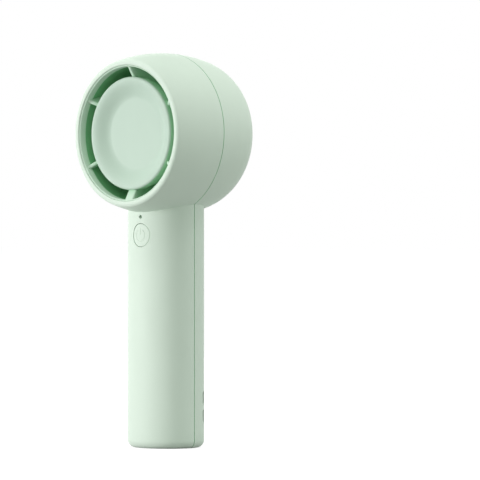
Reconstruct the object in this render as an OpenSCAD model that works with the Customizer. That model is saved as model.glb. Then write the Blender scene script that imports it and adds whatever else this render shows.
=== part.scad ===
// Handheld electric fan: a round head on an oval handle, with an impeller behind
// a spoked inlet grille, a ring-shaped outlet round a dished disc, a rechargeable
// cell and a control board. Millimetres, +Z up, the air leaves towards -Y.
// The origin is the middle of the handle's flat base.

/* [Head] */
// Largest radius of the round head
head_r = 32; // [31.5:0.5:35]
// Height of the head's lowest place above the indicator
neck_gap = 0.7; // [0.7:0.1:3]
// Depth of the head from outlet lip to inlet rim
head_depth = 45; // [44.6:0.2:48]
// Where along the axis the head is widest
apex_y = -1.5; // [-2:0.5:-0.5]
// How much smaller in radius the head is at its front end, along the arc of its side
belly_drop = 3.32; // [2.8:0.02:3.6]
// Length of the head behind the place where the long arc gives way to the shoulder
shoulder_l = 8; // [7:0.5:9]
// Radius of the rear shoulder
shoulder_r = 19; // [17:0.5:21]
// Radius of the rounded rim round the inlet
nose_r = 1.5; // [1:0.1:2]
// Radius of the rounded lip round the outlet
lip_round = 1.3; // [0.8:0.1:4]
// Thickness of the lip round the outlet
lip_t = 2.2; // [1.8:0.1:2.6]
// Wall of the two moulded shells
wall = 1.8; // [1.6:0.1:2]

/* [Handle] */
// Width of the oval handle, left to right
handle_w = 31.6; // [31:0.2:36]
// Depth of the oval handle, front to rear
handle_d = 28.4; // [28:0.2:34]
// Rounding of the handle's bottom edge
base_round = 3; // [1:0.5:4]

/* [Parting line] */
// Width of the line between the two shells
seam_gap = 0.3; // [0.1:0.05:0.5]
// How far the rear shell's tongue reaches into the front shell
lap_depth = 2; // [1:0.5:3]
// Depth of the step that the tongue lies in
lap_t = 0.8; // [0.6:0.1:1]
// Clearance round the tongue
lap_fit = 0.1; // [0.05:0.05:0.2]

/* [Inlet] */
// How much smaller in radius the grille is than the head
grille_margin = 11.2; // [10.6:0.1:12]
// Width of the grille's ring
ring_w = 2.5; // [2:0.1:3]
// Clearance round the grille and its centre cap
grille_fit = 0.1; // [0.05:0.05:0.2]
// Depth of the funnel from the rim to the grille
funnel_depth = 5.7; // [5:0.1:6.5]
// Length of the bore that the grille sits in
grille_bore = 1.8; // [1.4:0.1:2.4]
// How far the grille's flange stands out behind the shell
flange_w = 1.5; // [1:0.1:1.8]
// Thickness of the grille's flange
flange_t = 1.3; // [1:0.1:1.6]
// How far the grille's ring slopes inwards
ring_drop = 1.6; // [1:0.1:1.9]
// Number of spokes
spokes = 16; // [10:1:18]
// Width of a spoke
spoke_w = 1.4; // [1:0.1:1.8]
// Thickness of a spoke along the axis
spoke_t = 2.2; // [1.8:0.1:2.8]
// How far the spokes are set beside the centre
spoke_offset = 2; // [1:0.1:2.6]
// Turn of the first spoke
spoke_turn = -12.8; // [-22:0.1:22]
// How far the spokes lie over the grille's ring
spoke_lap = 0.8; // [0.4:0.1:1.4]
// Radius of the grille's hub
hub_r = 5.8; // [5.2:0.1:7]
// Thickness of the grille's hub
hub_t = 2.6; // [2.2:0.1:3]
// Radius of the cap in the middle of the hub
cap_r = 3.9; // [3:0.1:4.4]
// Thickness of the cap in the middle of the hub
cap_t = 1; // [0.6:0.1:1.4]

/* [Outlet] */
// Radial thickness of the outlet ring at the lip
ring_t = 0.6; // [0.5:0.1:0.9]
// Clearance of the outlet ring in the shell
ring_fit = 0.05; // [0.02:0.01:0.1]
// How much smaller in radius the outlet's open edge is than the head
outlet_margin = 5.9; // [5.7:0.1:6.4]
// How far the ring's edge lies behind the shell's lip
ring_set = 0.5; // [0.2:0.1:1]
// Depth of the narrow part of the ring
ring_depth = 3; // [2.6:0.1:4.2]
// How much wider the outlet is behind the ring
ring_step = 0.4; // [0.2:0.1:0.5]
// Width of the open gap round the disc
outlet_gap = 3.9; // [3.4:0.1:4.4]
// How far the disc's rim lies behind the lip
disc_set = 2.5; // [1.8:0.1:2.8]
// Depth of the dish in the disc
disc_dish = 3.4; // [2:0.1:3.8]
// Radius of the flat in the middle of the dish
dish_r = 13.5; // [10:0.5:15]
// Rounding of the disc's rim
disc_round = 0.9; // [0.6:0.1:1.2]
// Thickness of the disc
disc_t = 1.4; // [1:0.1:1.6]
// Length of the disc's skirt behind its rim
skirt_l = 3.5; // [3.2:0.1:4.2]
// Thickness of the disc's skirt
skirt_t = 0.55; // [0.5:0.05:0.8]
// Clearance of the disc's skirt on the pod and the vanes
skirt_fit = 0.05; // [0.02:0.01:0.1]

/* [Air path] */
// Wall of the motor pod and the shroud
duct_t = 1.2; // [1:0.1:1.4]
// Length of the outlet frame behind the lip
frame_l = 13.3; // [13.1:0.1:14.1]
// Length of the shroud's straight part round the impeller
straight_l = 7.7; // [6:0.1:9]
// Thickness of the pod's rear wall
pod_end_t = 1.8; // [1.6:0.1:2]
// Radius of the pod's rear wall and of the impeller's base
pod_rear_r = 12; // [11.5:0.1:13]
// Thickness of a guide vane
vane_t = 1.5; // [0.9:0.1:1.8]
// Thickness of the vane that carries the motor leads
lead_vane_t = 4.4; // [2:0.1:5]
// Bend radius of the vanes
vane_bend = 20; // [16:1:40]
// How far a vane's outer front corner lies behind the lip
vane_set = 1.5; // [1.2:0.1:2]
// How far a vane's front edge slopes back towards the pod
vane_slope = 2.3; // [1:0.1:2.6]

/* [Impeller] */
// Number of blades
blades = 7; // [5:1:9]
// Gap between the blade tips and the shroud
tip_gap = 0.9; // [0.7:0.1:1.8]
// Thickness of a blade
blade_t = 1; // [0.8:0.1:1.4]
// Gap between the impeller's nose and the grille
grille_clear = 1.2; // [0.8:0.1:2]
// Radius of the impeller's nose
nose_hub_r = 4.6; // [4:0.1:5.4]
// Angle that a blade wraps round the axis
blade_wrap = 48; // [30:1:60]
// Forward lean of a blade's leading edge at the tip
blade_lean = 14; // [0:1:20]
// Gap between the impeller and the pod
impeller_gap = 1; // [0.6:0.1:1.4]

/* [Motor] */
// Diameter of the shaft
shaft_d = 2; // [1.5:0.1:2.4]
// Running clearance of the shaft in its bearings
shaft_fit = 0.03; // [0.01:0.01:0.06]
// Outer diameter of a bearing
bearing_d = 6; // [5:0.5:6.4]
// Width of a bearing
bearing_w = 2.5; // [2:0.1:3]
// Outer radius of the bearing tube
tube_r = 4; // [3.8:0.1:4.4]
// Length of the bearing tube in front of the mount plate
tube_l = 9.6; // [9:0.1:10]
// Radius of the motor's mount plate
plate_r = 9; // [8.6:0.1:10]
// Thickness of the motor's mount plate
plate_t = 1.5; // [1.2:0.1:1.8]
// Gap between the rotor can and the disc
motor_clear = 2.2; // [1.8:0.1:2.8]
// Outer radius of the rotor can
can_r = 10.2; // [10:0.1:11]
// Wall of the rotor can
can_t = 0.8; // [0.6:0.1:1]
// Radial thickness of the magnet ring
magnet_t = 0.9; // [0.7:0.1:1.1]
// Air gap between the stator and the magnet
air_gap = 0.3; // [0.3:0.05:0.5]
// Height of the stator's laminations
stator_h = 5.4; // [4.6:0.1:5.6]
// Number of stator teeth
teeth = 9; // [6:3:9]
// Width of a stator tooth
tooth_w = 1.2; // [1:0.1:1.4]
// Room between the mount plate and the rotor can for the leads
lead_room = 1.3; // [1.3:0.1:1.6]

/* [Battery] */
// Room at each side of the cradle for its screws
side_room = 3.65; // [3.6:0.05:5]
// Room in front of and behind the cradle
depth_room = 2.05; // [1.95:0.05:4]
// Length of the cell
cell_h = 65; // [62:0.5:65.5]
// Thickness of the sleeve on the cell
sleeve_t = 0.15; // [0.1:0.05:0.25]
// Thickness of a foam pad
pad_t = 1.3; // [1:0.1:1.6]
// Thickness of a nickel tab
tab_t = 0.15; // [0.1:0.05:0.25]
// How far the cell sits forward of the handle's middle
cell_set = 0.5; // [0:0.1:0.8]
// Wall of the cradle
cradle_t = 1.1; // [0.9:0.1:1.3]
// Clearance of the cell in the cradle
cell_fit = 0.1; // [0.05:0.05:0.2]

/* [Control board] */
// Width of the board
board_w = 21; // [20:0.2:22]
// Height of the board
board_h = 21; // [20.4:0.2:21.4]
// Gap between the cradle's top and the board
board_gap = 2.3; // [1.9:0.1:2.7]
// Thickness of the board
board_t = 1.2; // [1:0.1:1.6]
// Width of a cradle rail under the board
rail_w = 3; // [2.6:0.1:3.4]
// Depth of a cradle rail under the board
rail_d = 2.4; // [2:0.1:3]

/* [Socket] */
// Width of the charging socket
usb_w = 8.94; // [8.94:0.01:9.2]
// Height of the charging socket
usb_h = 3.26; // [3.2:0.01:3.4]
// Length of the charging socket
usb_l = 9.3; // [8.8:0.1:9.6]
// Wall of the charging socket
usb_t = 0.3; // [0.25:0.05:0.4]
// How far the socket lies behind the handle's surface
usb_set = 0.5; // [0.2:0.1:0.8]
// Height of the socket's middle above the board's lower edge
usb_up = 13.9; // [12.8:0.1:14.8]
// Clearance round the socket
usb_fit = 0.12; // [0.08:0.01:0.2]

/* [Button] */
// Diameter of the button
button_d = 9.1; // [8:0.1:9.2]
// Gap round the button
button_gap = 0.15; // [0.1:0.01:0.2]
// Height of the button's middle above the board's lower edge
button_up = 9.6; // [8.8:0.1:9.8]
// How far the button lies below the handle's surface
button_set = 0.1; // [0:0.05:0.3]
// How far the button's flange stands out behind the shell
button_flange = 0.55; // [0.4:0.05:0.6]
// Diameter of the indicator
led_d = 1.3; // [1:0.1:1.5]
// Height of the indicator above the board's lower edge
led_up = 16.8; // [16.7:0.1:17.4]
// Size of the switch under the button
switch_w = 6; // [5:0.1:6.4]
// Height of the switch's body
switch_h = 3.5; // [3:0.1:4]

/* [Lanyard slots] */
// Width of a slot round the handle
slot_w = 5; // [4:0.2:5.4]
// Height of both slots together
slot_h = 12.8; // [11:0.2:14]
// Height of the bar between the slots
bar_h = 1.8; // [1.4:0.1:2.4]
// Thickness of the bar between the slots
bar_t = 2; // [1.6:0.1:2.2]
// Depth of the pocket behind the slots
pocket_d = 4.6; // [4:0.1:4.8]
// Wall of the pocket
pocket_t = 1; // [0.8:0.1:1.2]
// Turn of the slots round the handle, from the right towards the rear
slot_turn = 33; // [30:1:60]
// Height of the bar's middle
slot_z = 15.9; // [14:0.1:20]

/* [Screws] */
// Diameter of a shell screw
screw_d = 1.8; // [1.6:0.1:2]
// Diameter of a screw's head
screw_head_d = 3; // [2.8:0.1:3.2]
// Height of a screw's head
screw_head_h = 1; // [0.8:0.1:1.2]
// Clearance round a screw where it passes through
screw_fit = 0.1; // [0.05:0.05:0.15]
// Diameter of a screw boss
boss_d = 3.4; // [3.2:0.1:3.6]

/* [Hidden] */
$fn = 96;
far = 90;
// Small overlap where two shapes of one piece are joined, and past a face that is cut
lap = 0.4;
// Angle at which two arcs of an outline cross, in place of meeting at a tangent
crease = 6;

mint = [0.83, 0.9, 0.83];
inner_mint = [0.55, 0.72, 0.57];
dark_plastic = [0.16, 0.17, 0.17];
steel = [0.72, 0.73, 0.75];
copper = [0.75, 0.45, 0.25];
brass = [0.8, 0.66, 0.35];
magnet_grey = [0.3, 0.31, 0.33];
board_green = [0.1, 0.35, 0.22];
chip_black = [0.1, 0.1, 0.11];
white_plastic = [0.93, 0.93, 0.9];
sleeve_blue = [0.35, 0.55, 0.7];
foam_grey = [0.35, 0.36, 0.37];
nickel = [0.78, 0.77, 0.73];
red = [0.75, 0.12, 0.1];
black = [0.08, 0.08, 0.08];

// Outline of the head: [radius, distance along the axis]
function unit(v) = v / norm(v);
function turned(v, a) = [v[0] * cos(a) - v[1] * sin(a), v[0] * sin(a) + v[1] * cos(a)];
front_y = -head_depth / 2;
rear_y = head_depth / 2;
shoulder_y = rear_y - shoulder_l;
grille_r = head_r - grille_margin;
inlet_r = grille_r - ring_w;
outlet_r = head_r - outlet_margin;
tip_r = inlet_r - tip_gap;
belly_l = apex_y - front_y;
belly_r = (pow(belly_l, 2) + pow(belly_drop, 2)) / (2 * belly_drop);
belly_c = [head_r - belly_r, apex_y];
shoulder_sin = (shoulder_y - apex_y) / belly_r;
shoulder_dir = [sqrt(1 - pow(shoulder_sin, 2)), shoulder_sin];
shoulder_c = belly_c + (belly_r - shoulder_r * cos(crease)) * shoulder_dir;
lip_c = [
    belly_c[0] + sqrt(pow(belly_r - lip_round * cos(crease), 2) - pow(front_y + lip_round - apex_y, 2)),
    front_y + lip_round
];
lip_outer = belly_c + belly_r * unit(lip_c - belly_c);
lip_inner = lip_c + lip_round * cos(crease) * [0, -1];
nose_c = [
    shoulder_c[0] + sqrt(pow(shoulder_r - nose_r * cos(crease), 2)
        - pow(rear_y - nose_r - shoulder_c[1], 2)),
    rear_y - nose_r
];
nose_outer = shoulder_c + shoulder_r * unit(nose_c - shoulder_c);
// Foot of the inlet funnel, and the line from it to the rounded rim
grille_bore_r = grille_r + grille_fit;
funnel_y = rear_y - funnel_depth;
funnel_foot = [grille_bore_r, funnel_y];
rim_r = nose_r * cos(crease);
funnel_dir = turned(unit(nose_c - funnel_foot), asin(rim_r / norm(nose_c - funnel_foot)));
funnel_l = sqrt(pow(norm(nose_c - funnel_foot), 2) - pow(rim_r, 2));
funnel_top = funnel_foot + funnel_l * funnel_dir;
funnel_back = funnel_foot + wall * turned(funnel_dir, -90);
seat_y = funnel_y - grille_bore;
hub_rise = 0.2;
spoke_rear_y = funnel_y - hub_rise;
hub_rear_y = funnel_y + hub_rise;
spoke_front_y = min(spoke_rear_y - spoke_t, hub_rear_y - hub_t);
seat_r = grille_r + flange_w + grille_fit;

// Outlet
outlet_bore = outlet_r + ring_t + ring_fit;
lip_back_y = front_y + lip_t;
ring_front_y = front_y + ring_set;
ring_rear_y = ring_front_y + ring_depth;
wide_r = outlet_r + ring_step;
frame_shoulder_y = lip_back_y + ring_fit;
disc_r = outlet_r - outlet_gap;
disc_rim_y = front_y + disc_set;
disc_floor_y = disc_rim_y + disc_dish;
skirt_rear_y = disc_rim_y + skirt_l;
pod_front_r = disc_r - skirt_t - skirt_fit;
pod_front_y = disc_rim_y + disc_t + disc_round;
rim_centre_r = disc_r - disc_round;
frame_r = wide_r + duct_t * 2 / 3;
frame_rear_y = front_y + frame_l;
shroud_rear_y = seat_y - flange_t;
flare_y = shroud_rear_y - straight_l;
can_clear = 0.5;
motor_l = can_t + can_clear + tube_l + plate_t;
pod_rear_y = disc_floor_y + disc_t + motor_clear + motor_l + pod_end_t;
curve_steps = 10;
function ease(t) = (1 - cos(180 * t)) / 2;
function pod_radius(y) = pod_rear_r + (pod_front_r - pod_rear_r)
    * sin(90 * min(1, max(0, (pod_rear_y - y) / (pod_rear_y - skirt_rear_y))));
function shroud_radius(y) = inlet_r + (wide_r - inlet_r)
    * ease(min(1, max(0, (flare_y - y) / (flare_y - frame_rear_y))));
function between(a, b, n) = [for (i = [0 : n]) a + (b - a) * i / n];
// Height of the dish at a radius: a flat, then an S-curve up to the rim
function dish_y(r) = disc_floor_y
    - disc_dish * ease(max(0, (r - dish_r) / (rim_centre_r - dish_r)));

// Motor and impeller along the axis
mount_y = pod_rear_y - pod_end_t;
plate_front_y = mount_y - plate_t;
can_rear_y = plate_front_y - lead_room;
stator_r = can_r - can_t - magnet_t - air_gap;
stator_rear_y = can_rear_y - lap;
stator_front_y = stator_rear_y - stator_h;
coil_over = 0.6;
tube_front_y = plate_front_y - tube_l;
can_inner_y = tube_front_y - can_clear;
can_front_y = can_inner_y - can_t;
core_t = 1.2;
core_r = tube_r + core_t;
tip_t = 0.8;
coil_w = 2.2;
spigot_set = 0.2;
bearing_set = 0.1;
tube_spigot_y = pod_rear_y - spigot_set;
rear_bearing_y = tube_spigot_y - bearing_set - bearing_w;
clip_t = 0.5;
clip_y = tube_spigot_y;
clip_r = 2.2;
base_y = pod_rear_y + impeller_gap;
nose_tip_y = spoke_front_y - grille_clear;
impeller_l = nose_tip_y - base_y;
nose_t = 3;
bush_r = 2;
bush_l = impeller_l - nose_t;
shaft_rear_y = base_y + bush_l + lap;
hub_wall = 1.4;
hollow_l = bush_l / 2;
motor_screw_r = 6.8;
motor_screw_d = 1.6;
motor_screw_head_d = 2.8;
motor_screws_n = 3;
function hub_radius(y) = nose_hub_r + (pod_rear_r - nose_hub_r)
    * (1 - sin(90 * min(1, max(0, (y - base_y) / impeller_l))));

// Battery, bottom to top
half_w = handle_w / 2;
half_d = handle_d / 2;
cradle_r = min(half_w - side_room, half_d - depth_room) - wall - cradle_t;
cell_d = 2 * (cradle_r - sleeve_t - cell_fit);
cradle_floor_z = wall;
pad_z = cradle_floor_z + cradle_t;
tab_z = pad_z + pad_t;
cell_z = tab_z + tab_t;
cell_top_z = cell_z + cell_h;
pad_top_z = cell_top_z + tab_t;
cradle_top_z = pad_top_z + pad_t;
ear_y = -3;
ear_t = 1.5;
ear_z = [30, 62];
ear_h = 6;
boss_r = boss_d / 2;
screw_r = screw_d / 2;
// Clearance between a screw boss and the piece beside it
boss_clear = 0.2;
ear_rim = 0.6;
ear_r = screw_r + ear_rim;
// Room between a cradle screw's middle and the shell beside it
ear_side = 2.05;
ear_x = half_w - wall - ear_side;

// Control board, button and socket
// Depth of the handle's inside at a distance from its middle
function inside_y(x) = (half_d - wall) * sqrt(1 - pow(x / (half_w - wall), 2));
board_rear_y = half_d - usb_set - usb_l;
board_front_y = board_rear_y - board_t;
board_z = cradle_top_z + cradle_t + board_gap;
usb_z = board_z + usb_up;
button_z = board_z + button_up;
led_z = board_z + led_up;
neck_z = led_z + neck_gap;
head_z = neck_z + head_r;
board_top_z = board_z + board_h;
switch_front_y = board_front_y - switch_h;
plunger_l = 1.5;
plunger_r = 1.7;
button_r = button_d / 2;
button_hole_r = button_r + button_gap;
button_flange_r = button_r + button_flange;
flange_clear = 0.3;
button_flange_y = -inside_y(button_flange_r) + flange_clear;
button_flange_t = 1;
button_post_r = 1.5;
symbol_r = 2.3;
symbol_w = 0.4;
symbol_depth = 0.15;
pipe_step = 0.35;
pipe_r = led_d / 2 + pipe_step;
pipe_fit = 0.05;
pipe_boss_t = 0.75;
pipe_boss_r = pipe_r + pipe_boss_t;
pipe_boss_l = 3;
led_h = 0.7;
led_gap = 0.2;
rail_x = board_w / 2 - rail_w / 2;
rail_set = 0.6;
rail_top_z = board_top_z - rail_set;

// Shroud screws round the head
shroud_ear_t = 1.5;
shroud_screw_turns = [0, 120, 240];
shroud_boss_l = 2.5;
// Share of the flare at which the screw bosses start
shroud_boss_share = 0.756;
shroud_ear_y = flare_y - shroud_boss_share * (flare_y - frame_rear_y) + shroud_boss_l;
shroud_boss_t = 0.7;
shroud_boss_r = motor_screw_d / 2 + shroud_boss_t;
shroud_screw_r = shroud_radius(shroud_ear_y - shroud_boss_l) + duct_t + shroud_boss_r + boss_clear;
board_screw_inset = 2.6;
board_screw_z = [board_z + board_screw_inset, board_top_z - board_screw_inset];
board_screw_d = 1.4;
board_head_d = 2.6;
board_head_h = 0.8;
board_screw_l = 2.2;

// Solid along Y between two places, at the current height
module rod(y0, y1, r) {
    translate([0, y0, 0]) rotate([-90, 0, 0]) cylinder(h = y1 - y0, r = r);
}
// Flat shape drawn in X and Z, made solid between two places along Y
module plate(y0, y1) {
    translate([0, y1, 0]) rotate([90, 0, 0]) linear_extrude(y1 - y0) children();
}
module on_axis() {
    translate([0, 0, head_z]) children();
}
// Outline of radius and distance along the axis, turned round the fan axis
module turn() {
    on_axis() rotate([-90, 0, 0]) rotate_extrude() children();
}
module tube(y0, y1, r_in, r_out) {
    turn() translate([r_in, y0]) square([r_out - r_in, y1 - y0]);
}
module slab(y0, y1) {
    translate([-far, y0, -far]) cube([2 * far, y1 - y0, 4 * far]);
}
// Half plane on the left of the way from a to b
module left_of(a, b) {
    d = far * unit(b - a);
    n = turned(d, 90);
    polygon([a - d, b + d, b + d + n, a - d + n]);
}
// Wedge that opens upwards, to an angle on either side
module wedge(a) {
    polygon([[0, 0], far * [sin(a), cos(a)], far * [-sin(a), cos(a)]]);
}
// Upright slot with round ends
module slot(w, h) {
    end_r = w / 2 / cos(crease);
    intersection() {
        square([w, h], center = true);
        union() {
            square([w, h - w], center = true);
            translate([0, (h - w) / 2]) circle(end_r);
            translate([0, (w - h) / 2]) circle(end_r);
        }
    }
}
// Closed tube of eight sides along a list of points
module lead(points, r) {
    sides = 8;
    last = len(points) - 1;
    function along(i) = unit(points[min(i + 1, last)] - points[max(i - 1, 0)]);
    function side(i) = unit(cross(along(i), [1, 0, 0]));
    rings = [for (i = [0 : last]) for (k = [0 : sides - 1])
        points[i] + r * (cos(360 * k / sides) * side(i)
            + sin(360 * k / sides) * cross(along(i), side(i)))];
    function at(i, k) = i * sides + k % sides;
    walls = [for (i = [0 : last - 1]) for (k = [0 : sides - 1]) each [
        [at(i, k), at(i + 1, k), at(i, k + 1)],
        [at(i, k + 1), at(i + 1, k), at(i + 1, k + 1)]
    ]];
    caps = [for (k = [1 : sides - 2]) each [
        [at(0, 0), at(0, k), at(0, k + 1)],
        [at(last, 0), at(last, k + 1), at(last, k)]
    ]];
    polyhedron(rings, concat(walls, caps));
}

// Head and handle, set in from the surface by e
module head_outline(e) {
    intersection() {
        translate([0, front_y + e]) square([far, head_depth - 2 * e]);
        translate(belly_c) circle(belly_r - e);
        union() {
            translate(shoulder_c) circle(shoulder_r - e);
            left_of(shoulder_c + shoulder_dir, shoulder_c);
        }
    }
}
module handle(e) {
    w = half_w - e;
    q = max(base_round - e, lap);
    round_z = e + q * cos(crease);
    top = head_z - grille_r - flange_w - wall;
    intersection() {
        scale([1, (half_d - e) / w, 1]) rotate_extrude() {
            translate([0, e - lap]) square([w - q, top - e + lap]);
            translate([0, round_z]) square([w, top - round_z]);
            intersection() {
                translate([w - q, round_z]) circle(q);
                translate([w - q - lap / 2, e - lap]) square([q + lap / 2, round_z - e + lap]);
            }
        }
        translate([-far, -far, e]) cube(2 * far);
    }
}
module body(e) {
    turn() head_outline(e);
    handle(e);
}
// Outline of the head with its rounded lip and rim, and its two bores
module rim_outline() {
    difference() {
        intersection() {
            head_outline(0);
            union() {
                translate(lip_c) circle(lip_round);
                left_of(lip_inner, lip_outer);
            }
            union() {
                translate(nose_c) circle(nose_r);
                left_of(nose_outer, funnel_top);
            }
            union() {
                left_of(funnel_top, funnel_foot);
                translate([0, -far]) square([far, far]);
            }
        }
        translate([0, front_y - lap]) square([outlet_bore, lip_t + 2 * lap]);
        translate([0, seat_y - lap]) square([grille_bore_r, head_depth]);
    }
}
module cavity_outline() {
    intersection() {
        head_outline(wall);
        union() {
            translate([0, lip_back_y]) square([far, seat_y - lip_back_y]);
            intersection() {
                translate([seat_r, 0]) square(far);
                left_of(funnel_back + funnel_dir, funnel_back);
            }
        }
    }
}
module shell() {
    difference() {
        union() {
            turn() rim_outline();
            handle(0);
        }
        turn() cavity_outline();
        handle(wall);
    }
}
module each_ear() {
    for (x = [-ear_x, ear_x], z = ear_z) translate([x, 0, z]) children();
}
module each_shroud_screw() {
    on_axis() for (a = shroud_screw_turns) rotate([0, a, 0]) translate([0, 0, shroud_screw_r]) children();
}

// Front shell with its outlet lip, button hole and screw bosses
module front_shell() {
    color(mint) difference() {
        union() {
            intersection() {
                shell();
                slab(-far, -seam_gap / 2);
            }
            intersection() {
                union() {
                    each_ear() rod(-half_d, ear_y, boss_r);
                    each_shroud_screw() {
                        rod(shroud_ear_y - shroud_boss_l, shroud_ear_y, shroud_boss_r);
                        translate([-shroud_boss_r / 2, shroud_ear_y - shroud_boss_l, 0])
                            cube([shroud_boss_r, shroud_boss_l, head_r]);
                    }
                    translate([0, 0, led_z]) rod(-half_d, -inside_y(0) + pipe_boss_l, pipe_boss_r);
                }
                body(wall / 2);
            }
        }
        intersection() {
            body(wall - lap_t);
            slab(-lap_depth - lap_fit, lap);
        }
        translate([0, 0, button_z]) rod(-half_d - lap, 0, button_hole_r);
        translate([0, 0, led_z]) rod(-half_d - lap, 0, led_d / 2 + pipe_fit);
        translate([0, 0, led_z]) rod(-inside_y(0), 0, pipe_r + pipe_fit);
        each_ear() rod(ear_y - boss_d, 0, screw_r);
        each_shroud_screw() rod(shroud_ear_y - shroud_boss_l + lap, 0, motor_screw_d / 2);
    }
}
// Rear shell with its inlet funnel, socket opening, tongue and lanyard slots
module at_slots() {
    rotate([0, 0, slot_turn]) translate([0, 0, slot_z]) children();
}
slot_surface = 1 / sqrt(pow(cos(slot_turn) / half_w, 2) + pow(sin(slot_turn) / half_d, 2));
module rear_shell() {
    pocket_x = slot_surface - pocket_d;
    color(mint) difference() {
        union() {
            intersection() {
                shell();
                slab(seam_gap / 2, far);
            }
            intersection() {
                difference() {
                    body(wall - lap_t + lap_fit);
                    turn() cavity_outline();
                    handle(wall);
                }
                slab(-lap_depth, seam_gap);
            }
            intersection() {
                at_slots() translate([pocket_x - pocket_t, -slot_w / 2 - pocket_t, -slot_h / 2 - pocket_t])
                    cube([half_w, slot_w + 2 * pocket_t, slot_h + 2 * pocket_t]);
                handle(wall / 2);
            }
        }
        at_slots() difference() {
            translate([pocket_x, 0, 0]) rotate([90, 0, 90]) linear_extrude(far) slot(slot_w, slot_h);
            translate([slot_surface - bar_t, -slot_w, -bar_h / 2]) cube([far, 2 * slot_w, bar_h]);
        }
        translate([0, 0, usb_z]) plate(board_rear_y, far)
            rotate(90) slot(usb_h + 2 * usb_fit, usb_w + 2 * usb_fit);
    }
}
// Grille with straight spokes set beside the centre
module spoke_bars() {
    reach = inlet_r + spoke_lap;
    for (i = [0 : spokes - 1]) rotate(spoke_turn + 360 * i / spokes) {
        translate([-spoke_offset - spoke_w / 2, hub_r / 2]) square([spoke_w, reach - hub_r / 2]);
    }
}
module inlet_grille() {
    color(mint) difference() {
        union() {
            turn() polygon([
                [inlet_r, shroud_rear_y], [grille_r + flange_w, shroud_rear_y],
                [grille_r + flange_w, seat_y], [grille_r, seat_y],
                [grille_r, funnel_y], [inlet_r, funnel_y - ring_drop]
            ]);
            on_axis() plate(spoke_rear_y - spoke_t, spoke_rear_y) spoke_bars();
            on_axis() rod(hub_rear_y - hub_t, hub_rear_y, hub_r);
        }
        on_axis() rod(hub_rear_y - cap_t, hub_rear_y + lap, cap_r);
    }
}
module grille_cap() {
    color(mint) on_axis() rod(hub_rear_y - cap_t, hub_rear_y, cap_r - grille_fit);
}
// Outlet frame: ring, guide vanes and the pod that holds the motor
lead_channel_w = 1;
lead_channel_l = 3;
lead_channel_set = 0.3;
lead_channel_y = frame_rear_y - lead_channel_set - lead_channel_l / 2;
vane_clear = 0.2;
vane_rear_y = frame_rear_y - vane_clear;
module vane_outline() {
    inner = disc_r + skirt_fit;
    pod_side = [for (y = between(vane_rear_y, skirt_rear_y, 4)) [pod_radius(y) - duct_t / 2, y]];
    polygon(concat(
        [
            [inner, front_y + vane_set + vane_slope],
            [outlet_r + ring_t / 2, front_y + vane_set],
            [outlet_r + ring_t / 2, ring_rear_y],
            [wide_r + duct_t / 4, ring_rear_y],
            [wide_r + duct_t / 4, vane_rear_y]
        ],
        pod_side,
        [[inner, skirt_rear_y + skirt_fit]]
    ));
}
// Curved strip in X and Y that stands up along the radius
module vane_strip(t) {
    on_axis() linear_extrude(head_r) intersection() {
        translate([vane_bend, front_y]) difference() {
            circle(vane_bend + t / 2);
            circle(vane_bend - t / 2);
        }
        translate([-lead_channel_l, front_y - lap]) square([vane_bend, vane_rear_y - front_y + lap]);
    }
}
module outlet_frame() {
    color(inner_mint) difference() {
        union() {
            turn() polygon([
                [outlet_r, ring_front_y], [outlet_r + ring_t, ring_front_y],
                [outlet_r + ring_t, frame_shoulder_y], [frame_r, frame_shoulder_y],
                [frame_r, frame_rear_y], [wide_r, frame_rear_y],
                [wide_r, ring_rear_y], [outlet_r, ring_rear_y]
            ]);
            turn() polygon(concat(
                [for (y = between(pod_rear_y, skirt_rear_y, curve_steps)) [pod_radius(y), y]],
                [
                    [pod_front_r, pod_front_y], [pod_front_r - duct_t, pod_front_y],
                    [pod_front_r - duct_t, skirt_rear_y]
                ],
                [for (y = between(skirt_rear_y, mount_y, curve_steps)) [pod_radius(y) - duct_t, y]],
                [[tube_r + ring_fit, mount_y], [tube_r + ring_fit, pod_rear_y]]
            ));
            intersection() {
                turn() vane_outline();
                union() {
                    for (a = [60 : 60 : 300]) on_axis() rotate([0, a + 180, 0]) translate([0, 0, -head_z])
                        vane_strip(vane_t);
                    on_axis() rotate([0, 180, 0]) translate([-lead_vane_t / 2, front_y, 0])
                        cube([lead_vane_t, vane_rear_y - front_y, head_r]);
                }
            }
        }
        on_axis() translate([-lead_channel_w / 2, lead_channel_y - lead_channel_l / 2, -head_r])
            cube([lead_channel_w, lead_channel_l, head_r - pod_rear_r]);
        each_motor_screw() {
            rod(mount_y - lap, pod_rear_y + lap, motor_screw_d / 2 + screw_fit);
            rod(pod_rear_y - screw_head_h, pod_rear_y + lap, motor_screw_head_d / 2 + screw_fit);
        }
    }
}
module each_motor_screw() {
    on_axis() for (i = [0 : motor_screws_n - 1])
        rotate([0, 360 * (i + 0.5) / motor_screws_n, 0]) translate([0, 0, motor_screw_r]) children();
}
// Dished disc that closes the front of the pod
module front_disc() {
    seat = pod_front_r + skirt_fit;
    edge = pod_front_r - duct_t - skirt_fit;
    rim_c = [rim_centre_r, disc_rim_y + disc_round];
    rim = [for (a = between(-90, 0, 6)) rim_c + disc_round * [cos(a), sin(a)]];
    color(mint) turn() polygon(concat(
        [[0, disc_floor_y]],
        [for (r = between(dish_r, rim_centre_r, curve_steps)) [r, dish_y(r)]],
        rim,
        [[disc_r, skirt_rear_y], [seat, skirt_rear_y], [seat, pod_front_y], [edge, pod_front_y]],
        [for (r = between(edge, dish_r, curve_steps)) [r, dish_y(r) + disc_t]],
        [[0, disc_floor_y + disc_t]]
    ));
}
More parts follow.
